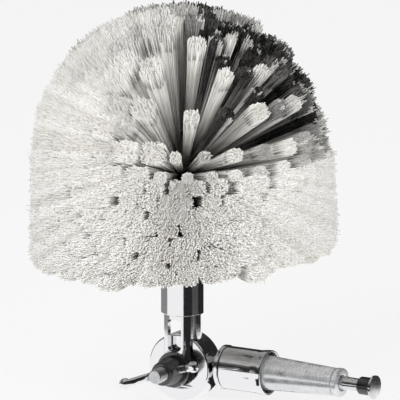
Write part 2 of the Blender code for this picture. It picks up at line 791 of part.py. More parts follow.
def make_stub():
    """The tapered stub, the ring at its small end, and the plug that the pole couples to."""
    fit, small = SOCKET_BORE_D / 2 - GAP, STUB_END_D / 2
    hole = PLUG_SHANK_D / 2 + GAP
    hole_foot = STUB_END - PLUG_SHANK_L
    profile = [
        (small, STUB_END),
        (fit, STUB_SHOULDER),
        (fit, SPIGOT_END + GAP),
        (0, SPIGOT_END + GAP),
        (0, hole_foot),
        (hole, hole_foot),
        (hole, STUB_END),
    ]
    stub = turned("pole_stub", profile, FINE_STEPS, closed=True, matrix=ALONG_ARM)
    cut(stub, rivet_hole("stub_rivet_hole"))
    as_piece(stub, SATIN, ARM)

    foot, top = STUB_END + GAP, STUB_RING_TOP
    outer, edge = STUB_RING_D / 2, STUB_RING_EDGE
    inner = PLUG_NECK_D / 2 + GAP
    profile = [
        (outer - edge, top),
        (outer, top - edge),
        (outer, foot + edge),
        (outer - edge, foot),
        (inner, foot),
        (inner, top),
    ]
    as_piece(turned("stub_ring", profile, MID_STEPS, closed=True, matrix=ALONG_ARM), SATIN, ARM)

    shank, neck, waist = PLUG_SHANK_D / 2, PLUG_NECK_D / 2, PLUG_WAIST_D / 2
    barrel, flange = PLUG_BARREL_D / 2, PLUG_FLANGE_D / 2
    flange_foot = ARM_REACH - PLUG_FLANGE_T
    profile = [
        (0, ARM_REACH),
        (flange - PLUG_EDGE / 2, ARM_REACH),
        (flange, ARM_REACH - PLUG_EDGE / 2),
        (flange, flange_foot),
        (barrel, flange_foot),
        (barrel, PLUG_BARREL_START + PLUG_EDGE),
        (barrel - PLUG_EDGE, PLUG_BARREL_START),
        (waist, PLUG_BARREL_START - PLUG_EDGE),
        (neck, top),
        (neck, foot),
        (shank, foot),
        (shank, hole_foot + GAP),
        (0, hole_foot + GAP),
    ]
    as_piece(turned("end_plug", profile, MID_STEPS, matrix=ALONG_ARM), DARK_STEEL, ARM)


def main():
    make_bands()
    make_dome()
    make_crown()
    make_core()
    make_neck()
    make_ferrule()
    make_pivot_bush()
    make_drum()
    make_bolt()
    make_washers()
    make_wing_nut()
    make_socket()
    make_stub()


clear_scene()
PARTS = new_collection("adjustable_pole_brush")
TOOLS = new_collection("cutters")

BRISTLE = new_material("pale_bristle", (0.80, 0.79, 0.74), 0.75, 0.0)
WOOD = new_material("turned_beech", (0.55, 0.38, 0.22), 0.6, 0.0)
CHROME = new_material("chrome_plate", (0.62, 0.62, 0.63), 0.12, 1.0)
STEEL = new_material("zinc_plated_steel", (0.50, 0.50, 0.50), 0.35, 1.0)
BRASS = new_material("bush_brass", (0.60, 0.46, 0.20), 0.4, 1.0)
FIBRE = new_material("red_fibre", (0.30, 0.08, 0.05), 0.8, 0.0)
SATIN = new_material("satin_aluminium", (0.60, 0.60, 0.61), 0.4, 1.0)
DARK_STEEL = new_material("dark_steel", (0.18, 0.18, 0.19), 0.4, 1.0)

PIVOT = Vector((-ARM_REACH, -ARM_SETBACK, 0))
HEAD = new_empty("head_tilt_axis", PIVOT)
NUT = new_empty("nut_axis", PIVOT)
ARM = new_empty("pole_side", PIVOT)

main()
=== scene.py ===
"""Pole brush on an adjustable knuckle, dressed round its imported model.

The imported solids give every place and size. Each operator below makes one piece, or a group of
like pieces, in finer meshes and real finishes, and one makes the stage. Lengths are in metres,
with +X along the arm, +Z up the brush head and the wing nut on the -Y side.
"""

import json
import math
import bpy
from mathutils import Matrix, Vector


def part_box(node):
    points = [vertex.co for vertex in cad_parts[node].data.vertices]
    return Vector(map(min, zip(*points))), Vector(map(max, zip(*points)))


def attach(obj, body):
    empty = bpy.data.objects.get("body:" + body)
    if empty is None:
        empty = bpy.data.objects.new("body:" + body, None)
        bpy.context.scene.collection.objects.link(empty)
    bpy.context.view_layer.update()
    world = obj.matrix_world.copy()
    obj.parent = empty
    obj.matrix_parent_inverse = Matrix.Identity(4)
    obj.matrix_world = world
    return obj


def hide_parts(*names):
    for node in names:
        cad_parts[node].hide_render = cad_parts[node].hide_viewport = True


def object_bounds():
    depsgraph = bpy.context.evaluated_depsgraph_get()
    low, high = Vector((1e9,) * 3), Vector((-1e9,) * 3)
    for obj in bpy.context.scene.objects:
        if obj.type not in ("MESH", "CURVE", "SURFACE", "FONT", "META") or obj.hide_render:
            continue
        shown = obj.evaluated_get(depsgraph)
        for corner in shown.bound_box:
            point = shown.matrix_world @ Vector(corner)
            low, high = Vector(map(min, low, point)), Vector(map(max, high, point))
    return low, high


bl_info = {
    "name": "Pole brush",
    "version": (1, 0, 0),
    "blender": (4, 5, 0),
    "location": "3D View > Sidebar > Pole brush",
    "description": "Makes the bristles, the clamped knuckle and the arm of a pole brush",
    "category": "Object",
}

from dataclasses import dataclass

import bmesh
import bpy
import numpy as np
from bpy.props import FloatProperty, FloatVectorProperty, IntProperty, PointerProperty
from bpy.types import Operator, Panel, PropertyGroup
from mathutils import Matrix, Vector

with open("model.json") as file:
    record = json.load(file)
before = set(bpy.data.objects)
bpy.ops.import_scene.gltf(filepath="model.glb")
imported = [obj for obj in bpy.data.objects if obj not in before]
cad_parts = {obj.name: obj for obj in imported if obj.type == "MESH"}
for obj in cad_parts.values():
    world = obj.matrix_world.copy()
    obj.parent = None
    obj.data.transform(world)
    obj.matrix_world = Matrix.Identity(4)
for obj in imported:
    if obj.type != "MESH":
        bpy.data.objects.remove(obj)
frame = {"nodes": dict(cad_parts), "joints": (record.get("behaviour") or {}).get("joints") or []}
CAD_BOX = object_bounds()

MM = 0.001
SEED = 7
SIDES = 128
# A point nearer the axis than this lies on it
TINY = 0.0001 * MM

PIVOT = Vector(next(j["pos_m"] for j in frame["joints"] if j["name"] == "head_tilt"))


def middle_y(node):
    low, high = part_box(node)
    return (low.y + high.y) / 2


# The neck's axis and the arm's lie before and behind the middle of the drum
NECK_Y = middle_y("head_ferrule")
ARM_Y = middle_y("pole_stub")

# Local Z along the neck, along the bolt towards its nut, and along the arm
ON_NECK = Matrix.Translation((PIVOT.x, NECK_Y, 0))
ON_BOLT = Matrix.Translation(PIVOT) @ Matrix.Rotation(math.radians(90), 4, "X")
ON_ARM = Matrix.Translation((PIVOT.x, ARM_Y, 0)) @ Matrix.Rotation(math.radians(90), 4, "Y")

# Sizes that no node's box gives, the same as in the solids
CLEAR = 0.3 * MM
OVER = 2 * MM
BOLT_R = 5 * MM
BOLT_HEAD_T = 4.6 * MM
BOLT_SQUARE_T = 4.2 * MM
RECESS_R = 12 * MM
RECESS_DEPTH = 5.7 * MM
SLOT_HALF = 5 * MM
SLOT_FOOT = 12 * MM
SLOT_TOP = 33.6 * MM
SLOT_CORNER = 3 * MM
LAP_GAP = 0.7 * MM
SPOT_GAP = 0.45 * MM
BOSS_R = 8.6 * MM
BOSS_TAPER = 4.1 * MM
BOSS_FLARE = 1.2 * MM
RING_R = 14.7 * MM
RING_L = 3 * MM
SOCKET_R = 14.3 * MM
SOCKET_BORE = 11.7 * MM
SOCKET_MOUTH = 13.35 * MM
SOCKET_FLARE = 8 * MM
LIP_L = 2.7 * MM
STUB_END_R = 9.2 * MM
STUB_SHOULDER_IN = 1.5 * MM
PLUG_HOLE_R = 4.3 * MM
PLUG_HOLE_L = 6 * MM
PLUG_ROOT_L = 5 * MM
PLUG_NECK_R = 4.6 * MM
PLUG_WAIST_R = 4.2 * MM
PLUG_BARREL_R = 5.9 * MM
PLUG_BARREL_L = 9.8 * MM
PLUG_STEP = 0.8 * MM
PLUG_SEAT = 0.2 * MM
PLUG_FLANGE_T = 1.7 * MM
SCREW_R = 2 * MM
SCREW_HEAD_T = 1.8 * MM
SCREW_SLOT_HALF = 0.5 * MM
SCREW_SLOT_DEPTH = 1.0 * MM
RIVET_R = 2 * MM
RIVET_HEAD_T = 2 * MM
NUT_FOOT_R = 9.5 * MM
NUT_NOSE_R = 7.75 * MM
NUT_H = 12 * MM
WING_REACH = 31 * MM
WING_RISE = 18.5 * MM
WING_T = 5.2 * MM
WING_PAD = 3.9 * MM
WING_REST = math.radians(19)
CORE_R = 17 * MM
BAND_H = 16.2 * MM
BAND_PITCH = 16.5 * MM
DOME_LIFT = 3.4 * MM
NECK_PLUG_R = 10.33 * MM
# The shallow groove where one drilled slice of the core meets the next
CORE_GROOVE = 0.5 * MM
# The thread: how deep it is cut for its pitch, its rows of corners a turn, and the turns over
# which it starts; then the length of the bolt's rounded point
THREAD_DEPTH, THREAD_ROWS, THREAD_START = 0.61, 8, 2
POINT_L = 0.9 * MM
# The split washer: half of its gap, and how far one end springs off the other along the bolt
SPLIT_HALF = 0.7 * MM
SPRING = 0.3 * MM
# Outline of one wing, from its root below, round the tip and back: shares of reach and of rise
WING_SHARES = (
    (0.12, 0.07),
    (0.42, 0.14),
    (0.68, 0.38),
    (0.88, 0.66),
    (0.99, 0.86),
    (0.94, 1.00),
    (0.78, 0.94),
    (0.58, 0.70),
    (0.38, 0.54),
    (0.12, 0.56),
)
# Middle of the pad at a wing's tip, as the same shares
PAD_REACH, PAD_RISE = 0.885, 0.8


def hex_colour(code):
    """Linear red, green and blue of an sRGB hex value."""
    shares = [int(code[i : i + 2], 16) / 255 for i in (0, 2, 4)]
    return tuple(c / 12.92 if c <= 0.04045 else ((c + 0.055) / 1.055) ** 2.4 for c in shares)


def length(name, text, millimetres):
    size = millimetres * MM
    return FloatProperty(name=name, description=text, default=size, min=0.0, unit="LENGTH", precision=5)


def angle(name, text, degrees):
    return FloatProperty(name=name, description=text, default=math.radians(degrees), unit="ROTATION")


def colour(name, text, code):
    shade = hex_colour(code)
    return FloatVectorProperty(
        name=name, description=text, default=shade, size=3, subtype="COLOR", min=0, max=1
    )


def factor(name, text, value):
    return FloatProperty(
        name=name, description=text, default=value, min=0.0, max=1.0, subtype="FACTOR"
    )


def number(name, text, value):
    return IntProperty(name=name, description=text, default=value, min=1)


def power(name, text, watts):
    return FloatProperty(name=name, description=text, default=watts, min=0.0)


class BristleSettings(PropertyGroup):
    """Sizes and colours of the bristle head"""

    clumps: number("Clumps in a tuft", "Bundles of stuck fibres that fill a tuft", 14)
    rim_strands: number("Strands round a tuft", "Whole fibres laid round each tuft", 26)
    end_strands: number("Strands in a tuft's end", "Fibre ends that fill each tuft's cut end", 210)
    fibre: length("Fibre thickness", "Drawn a little coarser than the real fibre, to show", 0.74)
    root: length("Tuft root", "Half width of a tuft where it leaves the core", 1.6)
    band_rise: length("Side tuft height", "Half height of a side tuft at its cut end", 5.6)
    splay: factor("Splay", "How far the unused tufts spread past their share of the surface", 0.34)
    trim: length("Trim", "How much shorter the dome is cut than the solids", 3.2)
    sweep: length("Sweep", "How far the unused tufts are combed aside from the front", 10.0)
    lift: length("Lift", "How far the lowest tufts are pushed up in front", 6.3)
    lean: length("Lean", "How far the lowest tufts are pushed up on the right and down on the left", 6.0)
    ivory: colour("Ivory fibre", "Colour of the clean fibre", "F6F5F2")
    straw: colour("Straw fibre", "Colour of the duller fibres among the clean ones", "E2DFD9")
    # Painted shade: the near black of the tuft ends on the upper and right side of the head, away from
    # the key lamp, and of the short dark tufts in the gaps
    painted_shade: colour("Sooty fibre", "Colour of the used ends on the upper side", "1E1D1C")


class MetalSettings(PropertyGroup):
    """Colours and wear of the metal pieces"""

    chrome: colour("Chrome", "Colour of the chrome plate", "EDEDEF")
    zinc: colour("Zinc", "Colour of the zinc plate", "D4D6D7")
    aluminium: colour("Aluminium", "Colour of the turned aluminium stub", "EAEBEC")
    hub_painted_shade: colour("Grease", "Colour of the old grease round the bolt", "1B1A19")
    # Painted shade: the near black laid over the chrome by the bolt's axis, for the shade round the hub
    blackened: colour("Blackened steel", "Colour of the blackened steel", "68686A")
    brass: colour("Brass", "Colour of the pivot bush", "C2A25A")
    oxide: colour("Oxide", "Colour of the chalky film on the aluminium", "E4E5E7")
    haze: factor("Haze", "Roughness of the chrome where it has been handled", 0.13)
    edge: length("Edge break", "Rounding of the machined edges", 0.35)
    pitch: length("Thread pitch", "Pitch of the bolt's thread", 1.5)


class StageSettings(PropertyGroup):
    """Camera and light"""

    azimuth: angle("Azimuth", "Camera's angle round the brush", 30.0)
    elevation: angle("Elevation", "Camera's angle above the level", 13.0)
    distance: length("Distance", "From the camera to the brush", 8000.0)
    view_width: length("View width", "Width of the picture at the brush", 262.8)
    target: FloatVectorProperty(
        name="Target",
        description="Point that the camera looks at, from the pivot",
        default=(0.0097, 0.0023, 0.1120),
        size=3,
        subtype="TRANSLATION",
        unit="LENGTH",
    )
    key_watts: power("Key lamp", "Power of the soft key lamp", 9.4)
    fill_watts: power("Fill lamp", "Power of the soft fill lamp", 9.2)
    floor: colour("Floor", "Colour of the plain floor", "ECECEC")
    ambient: factor("Ambient", "Strength of the room's even light", 0.6)
    glow: factor("Glow", "Brightness of the room's one pale patch, as metal shows it", 0.16)


# Meshes


def set_all(thing, **settings):
    """Gives a thing its settings, and hands it back."""
    for name, value in settings.items():
        setattr(thing, name, value)
    return thing


def mesh_from(bm, name):
    """The mesh of a bmesh, which is freed."""
    mesh = bpy.data.meshes.new(name)
    bm.to_mesh(mesh)
    bm.free()
    return mesh


def finish_mesh(mesh, sharp_deg=32):
    mesh.shade_smooth()
    mesh.set_sharp_from_angle(angle=math.radians(sharp_deg))
    return mesh


def add_object(name, data, matrix=None):
    """An object in the scene; a matrix is applied to its mesh, so the object stays at the origin."""
    if matrix is not None:
        data.transform(matrix)
    made = bpy.data.objects.new(name, data)
    bpy.context.scene.collection.objects.link(made)
    return made


def circle(radius, height, steps):
    turns = [math.tau * i / steps for i in range(steps)]
    return [(radius * math.cos(a), radius * math.sin(a), height) for a in turns]


def arc(radius, rise, middle, first, last, steps):
    """Profile points round an arc, in degrees from the axis, where it is its rise off the middle."""
    turns = [math.radians(first + (last - first) * i / steps) for i in range(steps + 1)]
    return [(radius * math.sin(a), middle + rise * math.cos(a)) for a in turns]


def tube(bore, radius, start, end):
    """Profile of a tube or washer, or of a rod where the bore is nothing."""
    return [(bore, start), (radius, start), (radius, end), (bore, end)]


def soften(profile, size, steps=4):
    """A profile of (radius, height) with its corners rounded, except those on the axis."""
    points = [Vector(p) for p in profile]
    made = []
    for i, point in enumerate(points):
        back, on = points[i - 1] - point, points[(i + 1) % len(points)] - point
        if min(point.x, back.length, on.length) < TINY:
            made.append(point)
            continue
        reach = min(size, 0.45 * back.length, 0.45 * on.length)
        start, end = point + back.normalized() * reach, point + on.normalized() * reach
        for t in (k / steps for k in range(steps + 1)):
            made.append(start * (1 - t) ** 2 + point * (2 * t * (1 - t)) + end * t * t)
    return made


def skin(bm, name, rows):
    """The mesh of a surface laid over rows of corners, each of them a loop."""
    for near, far in zip(rows, rows[1:]):
        for i in range(len(near)):
            j = (i + 1) % len(near)
            corners = list(dict.fromkeys((near[i], near[j], far[j], far[i])))
            if len(corners) > 2:
                bm.faces.new(corners)
    bmesh.ops.recalc_face_normals(bm, faces=bm.faces)
    return mesh_from(bm, name)


def blank(name, profile, matrix, edge=0.0, steps=SIDES):
    """A closed profile of (radius, height) turned about Z, to cut or join."""
    bm = bmesh.new()
    rows = []
    for radius, height in soften(profile, edge) if edge else profile:
        if radius < TINY:
            rows.append([bm.verts.new((0, 0, height))] * steps)
        else:
            rows.append([bm.verts.new(place) for place in circle(radius, height, steps)])
    return add_object(name, finish_mesh(skin(bm, name, rows + rows[:1])), matrix)


def keep_flats(obj):
    """Weighs the normals by area, so that a flat looks flat beside its rounded edge."""
    obj.modifiers.new("weighted normals", "WEIGHTED_NORMAL").keep_sharp = True
    return obj


def turned(name, profile, matrix, edge=0.0, steps=SIDES):
    """A turned piece, its corners rounded by edge."""
    return keep_flats(blank(name, profile, matrix, edge, steps))


def block(name, low, high, matrix, bevel=0.0):
    """A block between two corners, used to cut or join, with its upright edges rounded."""
    bm = bmesh.new()
    bmesh.ops.create_cube(bm, size=1)
    low, high = Vector(low), Vector(high)
    bmesh.ops.scale(bm, vec=high - low, verts=bm.verts)
    bmesh.ops.translate(bm, vec=(low + high) / 2, verts=bm.verts)
    if bevel:
        upright = [e for e in bm.edges if abs(e.verts[0].co.z - e.verts[1].co.z) > bevel]
        bmesh.ops.bevel(bm, geom=upright, offset=bevel, segments=8, profile=0.5, affect="EDGES")
    return add_object(name, mesh_from(bm, name), matrix)


def bolt_rod(name, radius, start, end):
    """A round cutter about the bolt's axis, between two places forward of the pivot."""
    return blank(name, tube(0, radius, start, end), ON_BOLT)


def bake_modifiers(obj):
    bpy.context.view_layer.update()
    depsgraph = bpy.context.evaluated_depsgraph_get()
    mesh = bpy.data.meshes.new_from_object(obj.evaluated_get(depsgraph))
    obj.modifiers.clear()
    obj.data = mesh


def shape(target, operation, *tools):
    """Cuts tools out of a piece, or joins them to it, and deletes them."""
    for tool in tools:
        step = target.modifiers.new(operation, "BOOLEAN")
        set_all(step, operation=operation, solver="EXACT", object=tool)
        bake_modifiers(target)
        old = tool.data
        bpy.data.objects.remove(tool, do_unlink=True)
        bpy.data.meshes.remove(old)


def break_edges(obj, width, segments=3):
    """Rounds the machined edges and keeps the flats flat."""
    bm = bmesh.new()
    bm.from_mesh(obj.data)
    bmesh.ops.remove_doubles(bm, verts=bm.verts, dist=0.01 * MM)
    bmesh.ops.dissolve_degenerate(bm, edges=bm.edges, dist=0.01 * MM)
    bm.to_mesh(obj.data)
    bm.free()
    bevel = obj.modifiers.new("edge break", "BEVEL")
    limit = math.radians(38)
    set_all(bevel, width=width, segments=segments, limit_method="ANGLE", angle_limit=limit)
    bake_modifiers(obj)
    finish_mesh(obj.data, 50)
    keep_flats(obj)


def dress(obj, material, body, slot, *nodes):
    """Gives a piece its finish, its body and the nodes it stands for, which it hides; the slot is not
    used.
    """
    obj.data.materials.clear()
    obj.data.materials.append(material)
    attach(obj, body)
    if nodes:
        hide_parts(*nodes)


def repaint(node, material):
    """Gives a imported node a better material."""
    mesh = frame["nodes"][node].data
    mesh.materials.clear()
    mesh.materials.append(material)


def radius_of(node, axis):
    low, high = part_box(node)
    return (high[axis] - low[axis]) / 2


def on_neck(node):
    """Where a node starts and ends along the neck."""
    low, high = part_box(node)
    return low.z, high.z


def on_bolt(node):
    """Where a node starts and ends along the bolt, towards its nut, from the pivot."""
    low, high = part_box(node)
    return PIVOT.y - high.y, PIVOT.y - low.y


def on_arm(node):
    """Where a node starts and ends along the arm, from the pivot."""
    low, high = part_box(node)
    return low.x - PIVOT.x, high.x - PIVOT.x


def at_back(node):
    """Where a small fixing stands, with local Z out of the back of the brush."""
    low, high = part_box(node)
    middle = (low + high) / 2
    return Matrix.Translation((middle.x, 0, middle.z)) @ Matrix.Rotation(math.radians(-90), 4, "X")


# Materials


def new_tree(name):
    material = bpy.data.materials.new(name)
    material.use_nodes = True
    tree = material.node_tree
    return material, tree, tree.nodes["Principled BSDF"]


def plug(tree, node, sockets):
    """Sets a node's sockets, each to a value or to the output that feeds it."""
    for name, value in sockets.items():
        if isinstance(value, bpy.types.NodeSocket):
            tree.links.new(value, node.inputs[name])
        else:
            node.inputs[name].default_value = value


def add(tree, kind, output, sockets=None, stops=None, **settings):
    """Adds a node with its settings, its socket values and its links, and returns one output."""
    node = set_all(tree.nodes.new("ShaderNode" + kind), **settings)
    plug(tree, node, sockets or {})
    if stops:
        ramp = node.color_ramp.elements
        for element, (place, shade) in zip(ramp, stops, strict=True):
            element.position = place
            element.color = (*shade, 1.0)
    return node.outputs[output]


def surface(tree, shader):
    """Makes a shader's output what a material shows."""
    tree.links.new(shader, tree.nodes["Material Output"].inputs["Surface"])


def per(millimetres):
    """Texture scale for a pattern that repeats every so many millimetres."""
    return 1.0 / (millimetres * MM)


def darker(shade, share):
    return tuple(c * share for c in shade)


def chrome_plate(metal, name="chrome_plate"):
    """Chrome plate on polished steel: a near mirror with fine polishing marks and hazy patches."""
    material, tree, shader = new_tree(name)
    place = add(tree, "TexCoord", "Object")
    # Handling haze comes in patches about 9 mm across
    haze = add(tree, "TexNoise", "Fac", {"Vector": place, "Scale": per(9), "Detail": 4.0})
    spread = {"Value": haze, "From Min": 0.35, "From Max": 0.7, "To Min": 0.06, "To Max": metal.haze}
    rough = add(tree, "MapRange", "Result", spread)
    # Polishing marks are finer than a hundredth of a millimetre: drawn at 0.4 mm to show
    marks = add(tree, "TexNoise", "Fac", {"Vector": place, "Scale": per(0.4), "Detail": 2.0})
    pits = add(tree, "TexNoise", "Fac", {"Vector": place, "Scale": per(2.5), "Detail": 3.0})
    both = add(tree, "Math", "Value", {0: marks, 1: pits}, operation="ADD")
    bump = add(tree, "Bump", "Normal", {"Height": both, "Strength": 0.05, "Distance": 0.2 * MM})
    plug(tree, shader, {"Metallic": 1.0, "Base Color": (*metal.chrome, 1.0)})
    plug(tree, shader, {"Roughness": rough, "Normal": bump})
    return material


def add_painted_hub_shade(material, metal, shade_reach_mm):
    """Painted shade over a metal: a dark coat, thick by the bolt and gone at a distance from its axis,
    for the shade round the hub.
    """
    tree = material.node_tree
    place = add(tree, "TexCoord", "Object")
    flat = add(tree, "VectorMath", "Vector", {0: place, 1: (1.0, 0.0, 1.0)}, operation="MULTIPLY")
    axis = (PIVOT.x, 0.0, PIVOT.z)
    apart = add(tree, "VectorMath", "Value", {0: flat, 1: axis}, operation="DISTANCE")
    # The edge of the painted shade wanders by some 3 mm
    wander = add(tree, "TexNoise", "Fac", {"Vector": place, "Scale": per(5), "Detail": 4.0})
    edge = add(tree, "Math", "Value", {0: wander, 1: 6 * MM, 2: apart}, operation="MULTIPLY_ADD")
    thick, gone = (shade_reach_mm + 1) * MM, (shade_reach_mm + 5) * MM
    fade = {"Value": edge, "From Min": thick, "From Max": gone, "To Min": 0.93, "To Max": 0.0}
    cover = add(tree, "MapRange", "Result", fade, interpolation_type="SMOOTHSTEP")
    hub_painted_shade = {"Base Color": (*metal.hub_painted_shade, 1.0), "Roughness": 0.38}
    film = add(tree, "BsdfPrincipled", "BSDF", hub_painted_shade)
    under = tree.nodes["Principled BSDF"].outputs["BSDF"]
    surface(tree, add(tree, "MixShader", "Shader", {"Fac": cover, 1: under, 2: film}))
    return material


def zinc_plate(metal):
    """Zinc plate on steel: dull silver with a faint crystal mottle."""
    material, tree, shader = new_tree("zinc_plate")
    place = add(tree, "TexCoord", "Object")
    mottle = add(tree, "TexVoronoi", "Distance", {"Vector": place, "Scale": per(1.6)})
    stops = [(0.0, darker(metal.zinc, 0.72)), (0.8, metal.zinc)]
    tone = add(tree, "ValToRGB", "Color", {"Fac": mottle}, stops)
    grain = add(tree, "TexNoise", "Fac", {"Vector": place, "Scale": per(0.7), "Detail": 4.0})
    rough = add(tree, "MapRange", "Result", {"Value": grain, "To Min": 0.24, "To Max": 0.46})
    bump = add(tree, "Bump", "Normal", {"Height": grain, "Strength": 0.12, "Distance": 0.2 * MM})
    plug(tree, shader, {"Metallic": 1.0, "Base Color": tone, "Roughness": rough, "Normal": bump})
    return material


def turned_metal(name, shade, roughness, groove_mm, axis=0):
    """Turned metal: fine tool marks run round the piece's axis and catch the light in rings."""
    material, tree, shader = new_tree(name)
    place = add(tree, "TexCoord", "Object")
    # The marks depend on the place along the axis alone, so they run round
    stretch = [1.0 if way == axis else 0.02 for way in range(3)]
    rings = add(tree, "Mapping", "Vector", {"Vector": place, "Scale": stretch})
    groove = {"Vector": rings, "Scale": per(groove_mm), "Detail": 3.0}
    marks = add(tree, "TexNoise", "Fac", groove)
    wear = add(tree, "TexNoise", "Fac", {"Vector": place, "Scale": per(7), "Detail": 4.0})
    stops = [(0.3, darker(shade, 0.8)), (0.62, shade)]
    tone = add(tree, "ValToRGB", "Color", {"Fac": wear}, stops)
    spread = {"Value": marks, "To Min": roughness * 0.75, "To Max": roughness * 1.25}
    rough = add(tree, "MapRange", "Result", spread)
    bump = add(tree, "Bump", "Normal", {"Height": marks, "Strength": 0.2, "Distance": 0.1 * MM})
    plug(tree, shader, {"Metallic": 1.0, "Base Color": tone, "Roughness": rough, "Normal": bump})
    return material


def speckled(name, roughness, grain_mm, stretch, stops, relief):
    """A matt natural material: its grain runs from one shade to another and stands out a little."""
    material, tree, shader = new_tree(name)
    place = add(tree, "TexCoord", "Object")
    along = add(tree, "Mapping", "Vector", {"Vector": place, "Scale": stretch})
    fleck = add(tree, "TexNoise", "Fac", {"Vector": along, "Scale": per(grain_mm), "Detail": 5.0})
    tone = add(tree, "ValToRGB", "Color", {"Fac": fleck}, stops)
    bump = add(tree, "Bump", "Normal", {"Height": fleck, **relief})
    plug(tree, shader, {"Roughness": roughness, "Base Color": tone, "Normal": bump})
    return material


def beech():
    """Turned beech, grimy from use: dark grey brown, with short darker flecks along the grain."""
    return speckled(
        "turned_beech",
        roughness=0.62,
        grain_mm=1.2,
        stretch=(1.0, 1.0, 0.12),
        stops=[(0.32, hex_colour("2E2822")), (0.6, hex_colour("4D443A"))],
        relief={"Strength": 0.2, "Distance": 0.2 * MM},
    )


def vulcanised_fibre():
    """Pressed vulcanised fibre: nearly black, with a speckle of pressed cotton."""
    return speckled(
        "vulcanised_fibre",
        roughness=0.75,
        grain_mm=0.5,
        stretch=(1.0, 1.0, 1.0),
        stops=[(0.35, hex_colour("1D1614")), (0.65, hex_colour("33241F"))],
        relief={"Strength": 0.3, "Distance": 0.1 * MM},
    )


def dull_aluminium(metal):
    """Weathered aluminium: turned metal under a chalky oxide film that lies in patches."""
    material = turned_metal("weathered_aluminium", metal.aluminium, roughness=0.26, groove_mm=0.35)
    tree = material.node_tree
    place = add(tree, "TexCoord", "Object")
    # The film is thinner where hands rub, in patches about 6 mm across
    patch = add(tree, "TexNoise", "Fac", {"Vector": place, "Scale": per(6), "Detail": 5.0})
    spread = {"Value": patch, "From Min": 0.3, "From Max": 0.7, "To Min": 0.2, "To Max": 0.4}
    cover = add(tree, "MapRange", "Result", spread)
    chalk = add(tree, "BsdfDiffuse", "BSDF", {"Color": (*metal.oxide, 1.0), "Roughness": 0.6})
    under = tree.nodes["Principled BSDF"].outputs["BSDF"]
    surface(tree, add(tree, "MixShader", "Shader", {"Fac": cover, 1: under, 2: chalk}))
    return material


def bristle_fibre(settings):
    """Bleached vegetable fibre: matt and pale, each strand a little different, darkened by painted shade
    on the side away from the key lamp.
    """
    material, tree, shader = new_tree("bleached_fibre")
    place = add(tree, "TexCoord", "Object")
    # The fibres are combed away from the front, in streaks: a noise over the direction round it
    aim = (PIVOT.x, NECK_Y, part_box("tuft_band_4")[1].z)
    out = add(tree, "VectorMath", "Vector", {0: place, 1: aim}, operation="SUBTRACT")
    across = add(tree, "VectorMath", "Vector", {0: out, 1: COMB_WAY}, operation="CROSS_PRODUCT")
    round_front = add(tree, "VectorMath", "Vector", {0: across}, operation="NORMALIZE")
    streaks = {"Vector": round_front, "Scale": 16.0, "Detail": 4.0, "Roughness": 0.6}
    streak = add(tree, "TexNoise", "Fac", streaks)
    spread = {"Value": streak, "From Min": 0.34, "From Max": 0.6, "To Min": -0.45, "To Max": 0.5}
    shade = add(tree, "MapRange", "Result", spread)
    tone = add(tree, "Attribute", "Fac", attribute_name="tone")
    pale = add(tree, "Math", "Value", {0: tone, 1: shade}, operation="ADD", use_clamp=True)
    fibres = {"Factor": pale, "A": (*settings.straw, 1.0), "B": (*settings.ivory, 1.0)}
    unshaded = add(tree, "Mix", "Result", fibres, data_type="RGBA")
    # The painted shade lies unevenly: flecks about 1.5 mm long along a strand
    painted_shade = add(tree, "Attribute", "Fac", attribute_name="painted_shade")
    fleck = add(tree, "TexNoise", "Fac", {"Vector": place, "Scale": per(1.5), "Detail": 3.0})
    patchy = add(tree, "Math", "Value", {0: fleck, 1: -0.5}, operation="ADD")
    laid = {0: patchy, 1: 0.25, 2: painted_shade}
    amount = add(tree, "Math", "Value", laid, operation="MULTIPLY_ADD", use_clamp=True)
    painted_shade_mix = {"Factor": amount, "A": unshaded, "B": (*settings.painted_shade, 1.0)}
    with_painted_shade = add(tree, "Mix", "Result", painted_shade_mix, data_type="RGBA")
    plug(tree, shader, {"Roughness": 0.6, "Specular IOR Level": 0.25, "Base Color": with_painted_shade})
    return material


# Bristles

# Directions in the photographed pose: the picture's right, level to the front, and at the camera
RIGHT_WAY = Vector((0.866, 0.5, 0.0))
FRONT_WAY = Vector((0.5, -0.866, 0.0))
COMB_WAY = Vector((0.487, -0.844, 0.225))
FRONT_TURN = math.atan2(FRONT_WAY.y, FRONT_WAY.x)

# Foot of the lowest slice of the core, and the height of the dome's own centre
BAND_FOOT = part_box("backing_plate")[1].z + CLEAR
BANDS = 4
DOME_Z = BAND_FOOT + BANDS * BAND_PITCH + DOME_LIFT
# All the tufts of the dome aim at a point this far below that centre
AIM_DROP = 16 * MM
TUFTS_ROUND = 50
# The side tufts stand in two rows a band: how far the feet and the tips of the highest row are
# above those of the lowest, and how far inside the solids they end, below and then more on top
BAND_ROWS = 2 * BANDS
FEET_CLIMB, TIPS_CLIMB = 45.5 * MM, 64.0 * MM
TIP_INSET, TOP_INSET = 0.8 * MM, 1.6 * MM
# The dome's rings, by their rise in degrees, how far they are apart, how many tufts stand on them
# for those on a band, and from which rise they belong to the crown
RINGS = (12, 20, 28, 35, 43, 50, 58, 66, 74, 81)
RING_STEP, RING_SHARE, CROWN_FROM = 8, 0.8, 45
